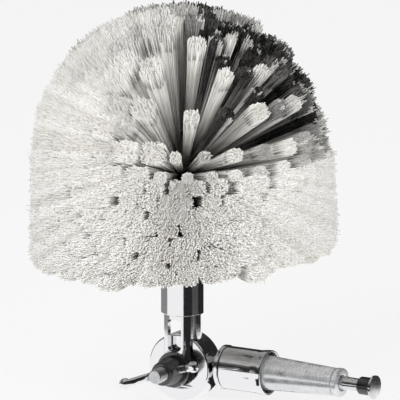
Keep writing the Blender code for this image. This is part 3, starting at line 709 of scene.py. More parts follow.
# Open, used tufts of the dome: under each ring's rise in degrees, the degrees to the picture's
# right, the half width of the cut end in millimetres and the share of painted shade on its end
OPEN_TUFTS = {
    12: (
        (-9, 3.8, 0.0), (2, 3.6, 0.0), (12, 3.6, 0.1), (22, 4, 0.0), (33, 4.5, 0.1),
        (45, 5, 0.0), (58, 6, 0.2), (72, 7.5, 0.3), (87, 9, 0.4), (101, 9, 0.4),
    ),
    20: (
        (-3, 3.4, 0.0), (9, 3.6, 0.2), (22, 4.5, 0.0), (35, 4.5, 0.3), (49, 5, 0.0),
        (61, 6, 0.3), (74, 9, 0.5), (88, 11, 0.6), (103, 11, 0.6),
    ),
    35: (
        (4, 5, 0.0), (20, 5, 0.9), (37, 6, 0.0), (49, 5, 0.5),
        (61, 5, 0.1), (74, 10, 0.7), (90, 9.5, 0.85), (106, 9.5, 0.85),
    ),
    50: ((24, 5, 0.0), (37, 5, 0.85), (50, 5, 0.05), (66, 10, 0.75), (84, 9.5, 0.9), (103, 9.5, 0.9)),
    66: ((12, 5.5, 0.0), (30, 5, 0.8), (45, 3, 0.1), (69, 9.5, 1.0), (97, 9.5, 1.0)),
    81: ((-21, 6, 0.0), (25, 6, 0.5), (72, 10, 0.9), (125, 10, 0.8)),
}
# Tufts between them, worn short and painted fully dark as the shade in the gaps: under each ring's rise,
# the same degrees and half width
SHORT_TUFTS = {
    28: ((78, 7), (95, 7), (112, 7)),
    43: ((42, 4.5), (78, 7), (96, 7), (114, 7)),
    58: ((29, 5), (60, 6), (80, 7), (100, 7), (122, 7)),
    74: ((42, 7), (80, 7), (118, 7)),
}
# How much shorter than the unused tufts the open ones and the dark painted-shade ones between them are
OPEN_SHORT, WORN_SHORT = 2.0 * MM, 6 * MM
# On the rings between, the unused tufts stand from this many degrees round to the other, and
# those of the highest rings end so many degrees sooner
CLOSED_FROM, CLOSED_TO, WORN_BACK = 136, 344, 40
# Steps of a ring between an open tuft and the next unused one
OPEN_GAP = 0.75
# Share of its length by which a tuft is shorter at the rim: a tuft wider than this ends rounder
CLOSED_DOME, OPEN_DOME, WIDE_TUFT = 0.015, 0.05, 8 * MM
# Use has thinned the tufts from so many degrees off the front, and most up to so many: by which
# share at most in the rows, in the two rows under the dome, and in the rings up to this rise
THIN_FROM, THIN_MOST = 75, 15
THIN_ROWS, THIN_TOP_ROWS, THIN_RINGS, THIN_RISE = 0.08, 0.26, 0.16, 30
# Unused tufts get painted shade from so many degrees down to so many, and are worn, with a little
# painted shade, from so many on, and more so between two shares of the climb
PAINTED_SHADE_FROM, PAINTED_SHADE_MOST, PAINTED_SHADE_CLIMB = 270, 190, (0.2, 0.5)
WORN_AND_SHADED_FROM, WORN_AND_SHADED_CLIMB = 285, (0.25, 0.6)
# How unevenly tufts are cut, and the worn ones among them; how far the side tufts stray, in
# radians round the neck and then, where they are pushed and everywhere, upwards
UNEVEN, WORN_UNEVEN = 0.5 * MM, 1.0 * MM
TURN_STRAY, PUSH_STRAY, LIFT_STRAY = 0.016, 1.2 * MM, 0.7 * MM
# How a tuft's width grows along it, and how far along it the painted shade takes to reach its full depth
FLARE_POWER, PAINTED_SHADE_FADE = 1.15, 0.25
# A tuft's section is a rounded square: its area in squares of its half width
SECTION_AREA = 3.7
# Share of a tuft's length that its clumps fill, which leaves room for loose fibre ends
CLUMP_REACH = 0.945


def share_between(value, low, high):
    return max(0.0, min(1.0, (value - low) / (high - low)))


def thinned(degrees, most):
    """How wide a tuft is, as a share, so many degrees from the front, where use has thinned them."""
    return 1 - most * share_between(abs((degrees + 180) % 360 - 180), THIN_FROM, THIN_MOST)


@dataclass
class Tuft:
    """Where one tuft runs, how far it flares at its cut end, and its tone and painted shade."""

    foot: Vector
    tip: Vector
    side: Vector
    wide: float
    tall: float
    sweep: Vector
    dome: float
    tone: float
    painted_shade: float
    painted_shade_start: float

    def up(self):
        return (self.tip - self.foot).cross(self.side).normalized()

    def places(self, x, y, t, root):
        """Places at shares x and y of the half section, and t of the length: the last axis is XYZ."""
        flare = t**FLARE_POWER
        wide = root + (self.wide - root) * flare
        tall = root + (self.tall - root) * flare
        return (
            np.array(self.foot)
            + np.array(self.tip - self.foot) * t[..., None]
            + np.array(self.side) * (x * wide)[..., None]
            + np.array(self.up()) * (y * tall)[..., None]
            + np.array(self.sweep) * (t**2)[..., None]
        )


class FibreMesh:
    """Gathers lofted fibres, with a tone and a painted shade value at each vertex."""

    def __init__(self):
        self.count = 0
        self.points, self.quads, self.caps, self.tone, self.painted_shade = [], [], [], [], []

    def add(self, points, tone, painted_shade):
        """Adds fibres: points by fibre, ring, corner and axis; tone and painted shade by the first
        three.
        """
        fibres, rings, corners, _ = points.shape
        index = self.count + np.arange(fibres * rings * corners).reshape(fibres, rings, corners)
        turned_on = np.roll(index, -1, axis=2)
        near, far = (index[:, :-1], turned_on[:, :-1]), (turned_on[:, 1:], index[:, 1:])
        self.quads.append(np.stack((*near, *far), axis=-1).reshape(-1, 4))
        self.caps += index[:, 0, ::-1].tolist() + index[:, -1].tolist()
        self.points.append(points.reshape(-1, 3))
        self.tone.append(np.broadcast_to(tone, index.shape).reshape(-1))
        self.painted_shade.append(np.broadcast_to(painted_shade, index.shape).reshape(-1))
        self.count += index.size

    def build(self, name):
        quads = np.concatenate(self.quads)
        mesh = bpy.data.meshes.new(name)
        mesh.from_pydata(np.concatenate(self.points).tolist(), [], quads.tolist() + self.caps)
        smooth = np.arange(len(mesh.polygons)) < len(quads)
        mesh.polygons.foreach_set("use_smooth", smooth)
        for key, values in (("tone", self.tone), ("painted_shade", self.painted_shade)):
            layer = mesh.attributes.new(key, "FLOAT", "POINT")
            layer.data.foreach_set("value", np.concatenate(values).clip(0, 1).astype(np.float32))
        mesh.update()
        return mesh


def square_swell(turn):
    """How much farther out a rounded square reaches than a circle."""
    return (np.abs(np.cos(turn)) ** 4 + np.abs(np.sin(turn)) ** 4) ** -0.25


def sunflower(count, reach):
    """Evenly spread places in a rounded square, as shares of its half section."""
    i = np.arange(count) + 0.5
    turn = i * math.pi * (3 - math.sqrt(5))
    out = square_swell(turn) * np.sqrt(i / count) * reach
    return out * np.cos(turn), out * np.sin(turn)


@dataclass
class Clumps:
    """The clumps of one tuft: their middles, tones, painted shade and where the painted shade starts."""

    x: np.ndarray
    y: np.ndarray
    tone: np.ndarray
    painted_shade: np.ndarray
    start: np.ndarray

    def nearest(self, x, y):
        return ((x[:, None] - self.x) ** 2 + (y[:, None] - self.y) ** 2).argmin(axis=1)

    def painted_shade_at(self, chosen, t):
        laid = self.painted_shade[chosen] * np.clip((t - self.start[chosen]) / PAINTED_SHADE_FADE, 0, 1)
        # A little painted shade darkens a fibre much
        return laid * (2 - laid)


def clumps_of(rng, tuft, count):
    x, y = sunflower(count, 0.72)
    # A few clumps of a tuft with painted shade stay pale
    painted_shade = tuft.painted_shade * np.where(rng.random(count) < 0.84, rng.uniform(0.75, 1.0, count), 0.2)
    tone = tuft.tone + rng.random(count) * 0.3
    return Clumps(x, y, tone, painted_shade, tuft.painted_shade_start + rng.normal(0, 0.07, count))


def add_clumps(made, rng, tuft, clumps, root):
    """The packed fibres of a tuft: ridged clumps that end just short of the cut end."""
    count, corners = len(clumps.x), 6
    rounding = tuft.dome * np.hypot(clumps.x, clumps.y) ** 2
    ends = CLUMP_REACH * (1 + rng.normal(0, 0.008, count)) - rounding
    t = np.array([0.0, 0.35, 0.7, 1.0])[None, :, None] * ends[:, None, None]
    turn = (np.arange(corners) * math.tau / corners)[None, None, :] + rng.random((count, 1, 1))
    # Clumps overlap a little, so that no light shows between them
    size = 1.15 * math.sqrt(SECTION_AREA / (math.pi * count))
    size = size * (1 + rng.normal(0, 0.1, (count, 1, corners)))
    x = clumps.x[:, None, None] + size * np.cos(turn) + 0 * t
    y = clumps.y[:, None, None] + size * np.sin(turn) + 0 * t
    tone = clumps.tone[:, None, None] + rng.random((count, 1, corners)) * 0.3
    painted_shade = clumps.painted_shade_at(np.arange(count)[:, None, None], t)
    made.add(tuft.places(x, y, t + 0 * x, root), tone, painted_shade)


def add_strands(made, rng, tuft, clumps, x, y, stations, settings):
    """Three-sided fibres at shares x and y of the section, over some shares of the length."""
    count = len(x)
    ends = 1 + rng.normal(0, 0.013, count) - tuft.dome * np.hypot(x, y) ** 2
    t = np.array(stations)[None, :] * ends[:, None]
    line = tuft.places(x[:, None] + 0 * t, y[:, None] + 0 * t, t, settings.root)
    # Fibres stray more towards their ends
    line += rng.normal(0, 0.35 * MM, (count, 1, 3)) * (t**2)[..., None]
    thick = settings.fibre * 0.5 * (1 + 0.25 * rng.normal(0, 1, count).clip(-1.5, 1.5))
    turn = rng.random((count, 1)) * math.tau + np.arange(3) * math.tau / 3
    side, up = np.array(tuft.side), np.array(tuft.up())
    ring = np.cos(turn)[..., None] * side + np.sin(turn)[..., None] * up
    points = line[:, :, None, :] + (ring * thick[:, None, None])[:, None, :, :]
    chosen = clumps.nearest(x, y)
    tone = clumps.tone[chosen][:, None, None] + rng.random((count, 1, 1)) * 0.3
    made.add(points, tone, clumps.painted_shade_at(chosen[:, None, None], t[:, :, None]))


def add_tuft(made, rng, tuft, settings):
    """A bound tuft: its clumps, whole fibres round it, and fibre ends over its cut end."""
    clumps = clumps_of(rng, tuft, settings.clumps)
    add_clumps(made, rng, tuft, clumps, settings.root)
    count = settings.rim_strands
    turn = (np.arange(count) + rng.random(count)) * math.tau / count
    reach = square_swell(turn) * rng.uniform(0.86, 1.03, count)
    x, y = reach * np.cos(turn), reach * np.sin(turn)
    add_strands(made, rng, tuft, clumps, x, y, (0.0, 0.5, 0.99), settings)
    x, y = sunflower(settings.end_strands, 0.97)
    x, y = x + rng.normal(0, 0.03, len(x)), y + rng.normal(0, 0.03, len(y))
    add_strands(made, rng, tuft, clumps, x, y, (0.85, 0.995), settings)


class BRUSH_OT_bristles(Operator):
    """Make the tufts of the dome and the bands, each on its slice of the core"""

    bl_idname = "brush.bristles"
    bl_label = "Bristles"

    def execute(self, context):
        self.settings = context.scene.brush_bristles
        self.fibre = bristle_fibre(self.settings)
        self.rng = np.random.default_rng(SEED)
        self.head_r = radius_of("tuft_band_1", 0)
        for row in range(BAND_ROWS):
            self.make_row(row)
        for rise in RINGS:
            self.make_ring(rise)
        return {"FINISHED"}

    def stray(self, spread):
        """A random error of so much either way."""
        return float(self.rng.normal(0, spread))

    def chance(self, low, high):
        return float(self.rng.uniform(low, high))

    def fill(self, made, turn, foot, tip, half, painted_shade, swept=True):
        """A tuft round the neck's axis: foot and tip give its distance from the axis and height."""
        rise = math.atan2(tip[1] - foot[1], tip[0] - foot[0])
        out = Vector((math.cos(turn), math.sin(turn), 0))
        way = out * math.cos(rise) + Vector((0, 0, math.sin(rise)))
        near = way.dot(COMB_WAY)
        aside = way * near - COMB_WAY
        # Most where the fibres stand half way between end on and side on
        amount = 2 * max(0.0, near) * aside.length * self.chance(0.6, 1.4) if swept else 0.0
        about = Vector((PIVOT.x, NECK_Y, 0))
        tuft = Tuft(
            foot=about + out * foot[0] + Vector((0, 0, foot[1])),
            tip=about + out * tip[0] + Vector((0, 0, tip[1])),
            side=Vector((-out.y, out.x, 0)),
            wide=half[0] * self.chance(0.93, 1.07),
            tall=half[1] * self.chance(0.93, 1.07),
            sweep=aside.normalized() * amount * self.settings.sweep,
            dome=OPEN_DOME if half[0] > WIDE_TUFT and not swept else CLOSED_DOME,
            tone=self.chance(0.1, 0.3),
            painted_shade=painted_shade,
            painted_shade_start=self.chance(0.05, 0.4),
        )
        add_tuft(made, self.rng, tuft, self.settings)

    def make_row(self, row):
        """A row of side tufts: the low ones are pushed up or down, the high ones fan upwards."""
        made = FibreMesh()
        s = self.settings
        share = row / (BAND_ROWS - 1)
        foot_z = BAND_FOOT + BAND_H / 4 + FEET_CLIMB * share
        tip_z = BAND_FOOT + BAND_H / 4 + TIPS_CLIMB * share
        tip_r = self.head_r - TIP_INSET - TOP_INSET * share
        wide = (1 + s.splay) * math.pi * tip_r / TUFTS_ROUND
        most = THIN_TOP_ROWS if row >= BAND_ROWS - 2 else THIN_ROWS
        for i in range(TUFTS_ROUND):
            turn = math.tau * (i + 0.5 * (row % 2)) / TUFTS_ROUND + self.stray(TURN_STRAY)
            sideways = Vector((math.cos(turn), math.sin(turn), 0)).dot(RIGHT_WAY)
            push = s.lift + s.lean * sideways + self.stray(PUSH_STRAY)
            lift = push * (1 - share) ** 2 + self.stray(LIFT_STRAY)
            tip = (tip_r + self.stray(UNEVEN), tip_z + lift)
            size = wide * thinned(math.degrees(turn - FRONT_TURN), most)
            self.fill(made, turn, (CORE_R, foot_z), tip, (size, s.band_rise), 0.0)
        self.finish_row(f"tuft_band_{row // 2 + 1}", row % 2 + 1, made)

    def make_ring(self, rise_deg):
        """A ring of the dome: splayed, closed tufts, and the open, used ones where there are any, with
        painted shade on the ends away from the key lamp.
        """
        made = FibreMesh()
        s = self.settings
        rise = math.radians(rise_deg)
        level, climb = math.cos(rise), math.sin(rise)
        aim_z = DOME_Z - AIM_DROP
        reach = AIM_DROP * climb + math.sqrt(self.head_r**2 - (AIM_DROP * level) ** 2) - s.trim
        start = CORE_R / level
        if aim_z + start * climb > DOME_Z:
            start = AIM_DROP * climb + math.sqrt(CORE_R**2 - (AIM_DROP * level) ** 2)
        foot = (start * level, aim_z + start * climb)

        def tip_at(shorter, uneven):
            cut = reach - shorter + self.stray(uneven)
            return cut * level, aim_z + cut * climb

        used = OPEN_TUFTS.get(rise_deg, ())
        # Each open tuft carries its listed share of painted shade
        for degrees, half, painted_shade in used:
            tip, size = tip_at(OPEN_SHORT, UNEVEN), (half * MM, half * MM)
            self.fill(made, FRONT_TURN + math.radians(degrees), foot, tip, size, painted_shade, swept=False)
        for degrees, half in SHORT_TUFTS.get(rise_deg, ()):
            tip, size = tip_at(WORN_SHORT, WORN_UNEVEN), (half * MM, half * MM)
            # These short tufts are painted fully dark, as the shade in the gaps
            self.fill(made, FRONT_TURN + math.radians(degrees), foot, tip, size, 1.0, swept=False)

        count = max(6, round(TUFTS_ROUND * level * RING_SHARE))
        wide = (1 + s.splay) * math.pi * reach * level / count
        tall = (1 + s.splay) * math.radians(RING_STEP) * reach / 2
        first, last = self.unused(rise_deg, used, 360 / count)
        places = max(1, round((last - first) * count / 360))
        for i in range(places + 1):
            degrees = first + (last - first) * i / places
            # The ends of unused tufts towards the back and up the dome get painted shade
            back = share_between(degrees, PAINTED_SHADE_FROM, PAINTED_SHADE_MOST)
            tip = tip_at(0, UNEVEN)
            painted_shade = back * share_between(climb, *PAINTED_SHADE_CLIMB) * self.chance(0.4, 1.0)
            # Towards the used side the tufts are worn thinner and stand apart, and some get a little
            # painted shade
            worn_and_shaded = share_between(degrees, WORN_AND_SHADED_FROM, CLOSED_TO) * share_between(climb, *WORN_AND_SHADED_CLIMB)
            painted_shade = max(painted_shade, 0.35 * worn_and_shaded * self.chance(0.0, 1.0) ** 2)
            thin = thinned(degrees, THIN_RINGS) if rise_deg < THIN_RISE else 1.0
            size = (wide * (1 - 0.3 * worn_and_shaded) * thin, tall * (1 - 0.2 * worn_and_shaded) * thin)
            self.fill(made, FRONT_TURN + math.radians(degrees), foot, tip, size, painted_shade)
        if rise_deg == RINGS[-1]:
            top = (0.0, aim_z + AIM_DROP + self.head_r - s.trim)
            # The top tuft gets a little painted shade
            self.fill(made, FRONT_TURN, (0.0, DOME_Z + CORE_R), top, (tall, tall), 0.2)
        self.finish_row("tuft_crown" if rise_deg >= CROWN_FROM else "tuft_dome", rise_deg, made)

    def unused(self, rise_deg, used, step):
        """From where to where, in degrees from the front, the unused tufts of a ring stand."""
        if not used:
            return CLOSED_FROM, CLOSED_TO - WORN_BACK * share_between(rise_deg, RINGS[1], RINGS[-1])
        first, last = used[-1][0] + OPEN_GAP * step, 360 + used[0][0] - OPEN_GAP * step
        return first, min(last, CLOSED_TO) if rise_deg > RINGS[1] else last

    def finish_row(self, node, number, made):
        name = f"{node}_row_{number}"
        dress(add_object(name, made.build(name)), self.fibre, "brush_head", "bristle", node)


class BRUSH_OT_core(Operator):
    """Make the drilled core that the tufts stand in, its backing plate and hidden fixings"""

    bl_idname = "brush.core"
    bl_label = "Core"

    def execute(self, context):
        zinc = zinc_plate(context.scene.brush_metal)
        wood = beech()
        profile = [(0, BAND_FOOT), (CORE_R, BAND_FOOT)]
        for slices in range(1, BANDS + 1):
            joint = BAND_FOOT + slices * BAND_PITCH
            profile.append((CORE_R, joint - CORE_GROOVE))
            profile.append((CORE_R - CORE_GROOVE, joint))
            profile.append((CORE_R, joint + CORE_GROOVE))
        profile += arc(CORE_R, CORE_R, DOME_Z, 90, 0, 12)
        dress(turned("core_sleeve", profile, ON_NECK), wood, "brush_head", "core_wood")

        plate = tube(NECK_PLUG_R, radius_of("backing_plate", 0), *on_neck("backing_plate"))
        disc = turned("backing_disc", plate, ON_NECK, edge=0.3 * MM)
        dress(disc, zinc, "brush_head", "zinc_steel", "backing_plate")
        repaint("core_block", wood)
        for node in ("core_stud", "core_nut", "core_washer"):
            repaint(node, zinc)
        return {"FINISHED"}


class BRUSH_OT_neck(Operator):
    """Make the slotted neck with its ear, and the sleeve over its top"""

    bl_idname = "brush.neck"
    bl_label = "Neck and sleeve"

    def execute(self, context):
        metal = context.scene.brush_metal
        radius = radius_of("slotted_neck", 0)
        foot, top = on_neck("slotted_neck")
        neck = blank("neck_bar", tube(0, radius, -radius, top), ON_NECK)
        lap, spot = on_bolt("pivot_bush")
        back, front = on_bolt("slotted_neck")
        back, front, reach = back - OVER, front + OVER, radius + OVER
        # Below the pivot only a round end as wide as the neck is left
        below = block("ear_end", (-reach, -reach, foot), (reach, reach, 0), ON_NECK)
        shape(below, "DIFFERENCE", bolt_rod("ear_round", radius, back - OVER, front + OVER))
        lap_r = radius_of("knuckle_drum", 2) + LAP_GAP
        spot_r = radius_of("flat_washer", 0) + SPOT_GAP
        bore_r = radius_of("pivot_bush", 0) + CLEAR
        # The slot runs through the ear's thickness, and the bar behind it is milled away to the left
        slot_foot, slot_top = (-SLOT_HALF, SLOT_FOOT, back), (SLOT_HALF, SLOT_TOP, front)
        relief_foot, relief_top = (-reach, SLOT_FOOT, back), (SLOT_HALF, SLOT_TOP, lap)
        shape(
            neck,
            "DIFFERENCE",
            below,
            bolt_rod("lap", lap_r, back, lap),
            bolt_rod("spot_face", spot_r, spot, front),
            bolt_rod("ear_bore", bore_r, lap - OVER, front),
            block("slot", slot_foot, slot_top, ON_BOLT, SLOT_CORNER),
            block("slot_relief", relief_foot, relief_top, ON_BOLT),
        )
        break_edges(neck, metal.edge)
        # The neck's chrome gets painted shade near the bolt
        hub_shaded_chrome = add_painted_hub_shade(chrome_plate(metal, "neck_chrome_painted_hub_shade"), metal, shade_reach_mm=12)
        dress(neck, hub_shaded_chrome, "brush_head", "chrome", "slotted_neck")

        profile = tube(radius + CLEAR, radius_of("head_ferrule", 0), *on_neck("head_ferrule"))
        sleeve = turned("head_sleeve", profile, ON_NECK, edge=0.6 * MM)
        dress(sleeve, chrome_plate(metal), "brush_head", "chrome", "head_ferrule")
        self.make_screw(zinc_plate(metal))
        return {"FINISHED"}

    def make_screw(self, zinc):
        """The slotted screw at the back of the sleeve."""
        low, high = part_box("ferrule_screw")
        head_r, place = radius_of("ferrule_screw", 0), at_back("ferrule_screw")
        seat = high.y - SCREW_HEAD_T
        head = arc(head_r, SCREW_HEAD_T, seat, 0, 90, 10)
        shank = [(SCREW_R, seat), (SCREW_R, low.y), (0, low.y)]
        screw = blank("sleeve_screw", head + shank, place)
        slot_low = (-head_r - OVER, -SCREW_SLOT_HALF, high.y - SCREW_SLOT_DEPTH)
        slot_high = (head_r + OVER, SCREW_SLOT_HALF, high.y + OVER)
        shape(screw, "DIFFERENCE", block("screw_slot", slot_low, slot_high, place))
        break_edges(screw, 0.1 * MM, segments=2)
        dress(screw, zinc, "brush_head", "zinc_steel", "ferrule_screw")


class BRUSH_OT_knuckle(Operator):
    """Make the drum with its socket boss, the pivot bush and the fibre washer"""

    bl_idname = "brush.knuckle"
    bl_label = "Knuckle drum"

    def execute(self, context):
        metal = context.scene.brush_metal
        start, end = on_bolt("friction_washer")
        face = start - CLEAR
        washer_r, hole_r = radius_of("friction_washer", 0), BOLT_R + CLEAR
        profile = tube(0, radius_of("knuckle_drum", 2), -face, face)
        drum = blank("drum", profile, ON_BOLT, edge=1.4 * MM)
        boss_start = washer_r + CLEAR
        ring_end = on_arm("pole_socket")[0] - CLEAR
        ring_foot = ring_end - RING_L
        spigot_r, spigot_end = SOCKET_BORE - CLEAR, on_arm("pole_stub")[0] - CLEAR
        profile = [
            (0, boss_start),
            (BOSS_R - BOSS_TAPER, boss_start),
            (BOSS_R, ring_foot - BOSS_FLARE),
            (RING_R, ring_foot),
            (RING_R, ring_end),
            (spigot_r, ring_end),
            (spigot_r, spigot_end),
            (0, spigot_end),
        ]
        shape(drum, "UNION", blank("boss", profile, ON_ARM, edge=0.6 * MM))
        floor = RECESS_DEPTH - face
        seat_top = floor + BOLT_SQUARE_T + CLEAR
        shape(
            drum,
            "DIFFERENCE",
            bolt_rod("bore", hole_r, -face - OVER, face + OVER),
            bolt_rod("recess", RECESS_R, -face - OVER, floor),
            block("seat", (-hole_r, -hole_r, floor - OVER), (hole_r, hole_r, seat_top), ON_BOLT),
        )
        break_edges(drum, metal.edge)
        dress(drum, chrome_plate(metal), "pole_side", "chrome", "knuckle_drum")

        washer = turned("fibre_washer", tube(hole_r, washer_r, start, end), ON_BOLT, edge=0.25 * MM)
        dress(washer, vulcanised_fibre(), "pole_side", "fibre", "friction_washer")
        brass = turned_metal("turned_brass", metal.brass, roughness=0.3, groove_mm=0.3, axis=1)
        repaint("pivot_bush", brass)
        return {"FINISHED"}


class BRUSH_OT_clamp(Operator):
    """Make the bolt with its thread, the washers and the wing nut"""

    bl_idname = "brush.clamp"
    bl_label = "Bolt and wing nut"

    def execute(self, context):
        metal = context.scene.brush_metal
        # The washer's and the nut's chrome get painted shade near the bolt
        self.hub_shaded_chrome = add_painted_hub_shade(chrome_plate(metal, "chrome_painted_hub_shade"), metal, shade_reach_mm=13)
        self.zinc = zinc_plate(metal)
        self.make_bolt(metal.pitch)
        self.make_washers()
        self.make_nut()
        return {"FINISHED"}

    def make_bolt(self, pitch):
        """Domed head in the drum's recess, a square under it and a rolled thread to the end."""
        back, end = on_bolt("pivot_bolt")
        seat = back + BOLT_HEAD_T
        start = seat + BOLT_SQUARE_T
        rows = int((end - start) / (pitch / THREAD_ROWS))
        bm = bmesh.new()
        grid = []
        for row in range(rows + 1):
            height = start + (end - start) * row / rows
            depth = THREAD_DEPTH * pitch * min(1.0, (height - start) / (THREAD_START * pitch))
            point = POINT_L * (1 - min(1.0, (end - height) / POINT_L))
            grid.append(self.thread_row(bm, height, pitch, depth, point))
        bm.faces.new(grid[-1])
        bm.faces.new(list(reversed(grid[0])))
        bolt = add_object("bolt", finish_mesh(skin(bm, "bolt", grid), 40), ON_BOLT)
        dome = arc(radius_of("pivot_bolt", 0), -BOLT_HEAD_T, seat, 0, 90, 12)
        head = blank("bolt_head", dome + [(0, seat)], ON_BOLT, edge=0.25 * MM)
        low, high = (-BOLT_R, -BOLT_R, seat - 0.5 * MM), (BOLT_R, BOLT_R, start + 0.01 * MM)
        shape(bolt, "UNION", block("bolt_square", low, high, ON_BOLT), head)
        finish_mesh(bolt.data, 40)
        dress(bolt, self.zinc, "pole_side", "zinc_steel", "pivot_bolt")

    def thread_row(self, bm, height, pitch, depth, point, steps=96):
        """Corners round the thread at one height: cut to the depth, or in by the point's rounding."""
        row = []
        for i in range(steps):
            phase = (height / pitch - i / steps) % 1.0
            crest = 1 - abs(2 * phase - 1)
            # A flat at the crest and a narrower one at the root
            cut = depth * min(1.0, max(0.0, 1.15 * crest - 0.08))
            r, turn = BOLT_R - max(cut, point), math.tau * i / steps
            row.append(bm.verts.new((r * math.cos(turn), r * math.sin(turn), height)))
        return row

    def make_washers(self):
        """The plain washer in the ear's spot face, and the split one under the nut."""
        bore = BOLT_R + CLEAR
        profile = tube(bore, radius_of("flat_washer", 0), *on_bolt("flat_washer"))
        flat = turned("plain_washer", profile, ON_BOLT, edge=0.35 * MM)
        dress(flat, self.hub_shaded_chrome, "pole_side", "chrome", "flat_washer")

        r = radius_of("lock_washer", 0)
        start, end = on_bolt("lock_washer")
        section = soften(tube(bore, r, 0, end - start - SPRING), 0.3 * MM)
        steps, split = 120, SPLIT_HALF / r
        bm = bmesh.new()
        rings = []
        for share in (i / steps for i in range(steps + 1)):
            turn = math.pi / 2 + split + (math.tau - 2 * split) * share
            lift, out = start + SPRING * share, Vector((math.cos(turn), math.sin(turn)))
            rings.append([bm.verts.new((*(out * p.x), lift + p.y)) for p in section])
        bm.faces.new(rings[0])
        bm.faces.new(list(reversed(rings[-1])))
        mesh = finish_mesh(skin(bm, "spring_washer", rings), 40)
        spring = add_object("spring_washer", mesh, ON_BOLT)
        dress(spring, self.zinc, "nut_travel", "zinc_steel", "lock_washer")

    def make_nut(self):
        """A cast wing nut: a tapered hub that runs smoothly into two rounded wings."""
        foot = on_bolt("wing_nut")[0]
        profile = [(0, 0), (NUT_FOOT_R, 0), (NUT_NOSE_R, NUT_H), (0, NUT_H)]
        hub = blank("nut_hub", profile, Matrix(), edge=0.9 * MM, steps=96)
        for half_turns in range(2):
            side = Matrix.Rotation(math.pi * half_turns, 4, "Z")
            # The cast wings swell to a rounded pad at the tip
            middle = Matrix.Translation((PAD_REACH * WING_REACH, 0, PAD_RISE * WING_RISE))
            ball = arc(WING_PAD, -WING_PAD, 0, 0, 180, 16)
            pad = blank("wing_pad", ball, side @ middle, steps=48)
            shape(hub, "UNION", self.wing(side), pad)
        remesh = hub.modifiers.new("cast", "REMESH")
        set_all(remesh, mode="VOXEL", voxel_size=0.3 * MM)
        set_all(hub.modifiers.new("cast_smooth", "SMOOTH"), factor=0.5, iterations=5)
        bake_modifiers(hub)
        seat = Matrix.Translation((0, 0, foot)) @ Matrix.Rotation(WING_REST, 4, "Z")
        hub.data.transform(ON_BOLT @ seat)
        bore = bolt_rod("nut_bore", BOLT_R + CLEAR, foot - OVER, foot + NUT_H + OVER)
        shape(hub, "DIFFERENCE", bore)
        finish_mesh(hub.data, 45)
        hub.name = "cast_wing_nut"
        dress(hub, self.hub_shaded_chrome, "wing_nut", "chrome", "wing_nut")

    def wing(self, side):
        """One wing: its outline, filled to its thickness with rounded edges, and stood upright."""
        rounding = WING_T / 3
        outline = set_all(
            bpy.data.curves.new("wing", "CURVE"),
            dimensions="2D",
            fill_mode="BOTH",
            bevel_depth=rounding,
            bevel_resolution=4,
            extrude=WING_T / 2 - rounding,
            offset=-rounding,
            resolution_u=10,
        )
        spline = outline.splines.new("BEZIER")
        spline.bezier_points.add(len(WING_SHARES) - 1)
        spline.use_cyclic_u = True
        for point, (reach, rise) in zip(spline.bezier_points, WING_SHARES, strict=True):
            place = (reach * WING_REACH, rise * WING_RISE, 0)
            set_all(point, co=place, handle_left_type="AUTO", handle_right_type="AUTO")
        guide = add_object("wing", outline)
        bpy.context.view_layer.update()
        depsgraph = bpy.context.evaluated_depsgraph_get()
        mesh = bpy.data.meshes.new_from_object(guide.evaluated_get(depsgraph))
        bpy.data.objects.remove(guide, do_unlink=True)
        return add_object("wing", mesh, side @ Matrix.Rotation(math.radians(90), 4, "X"))


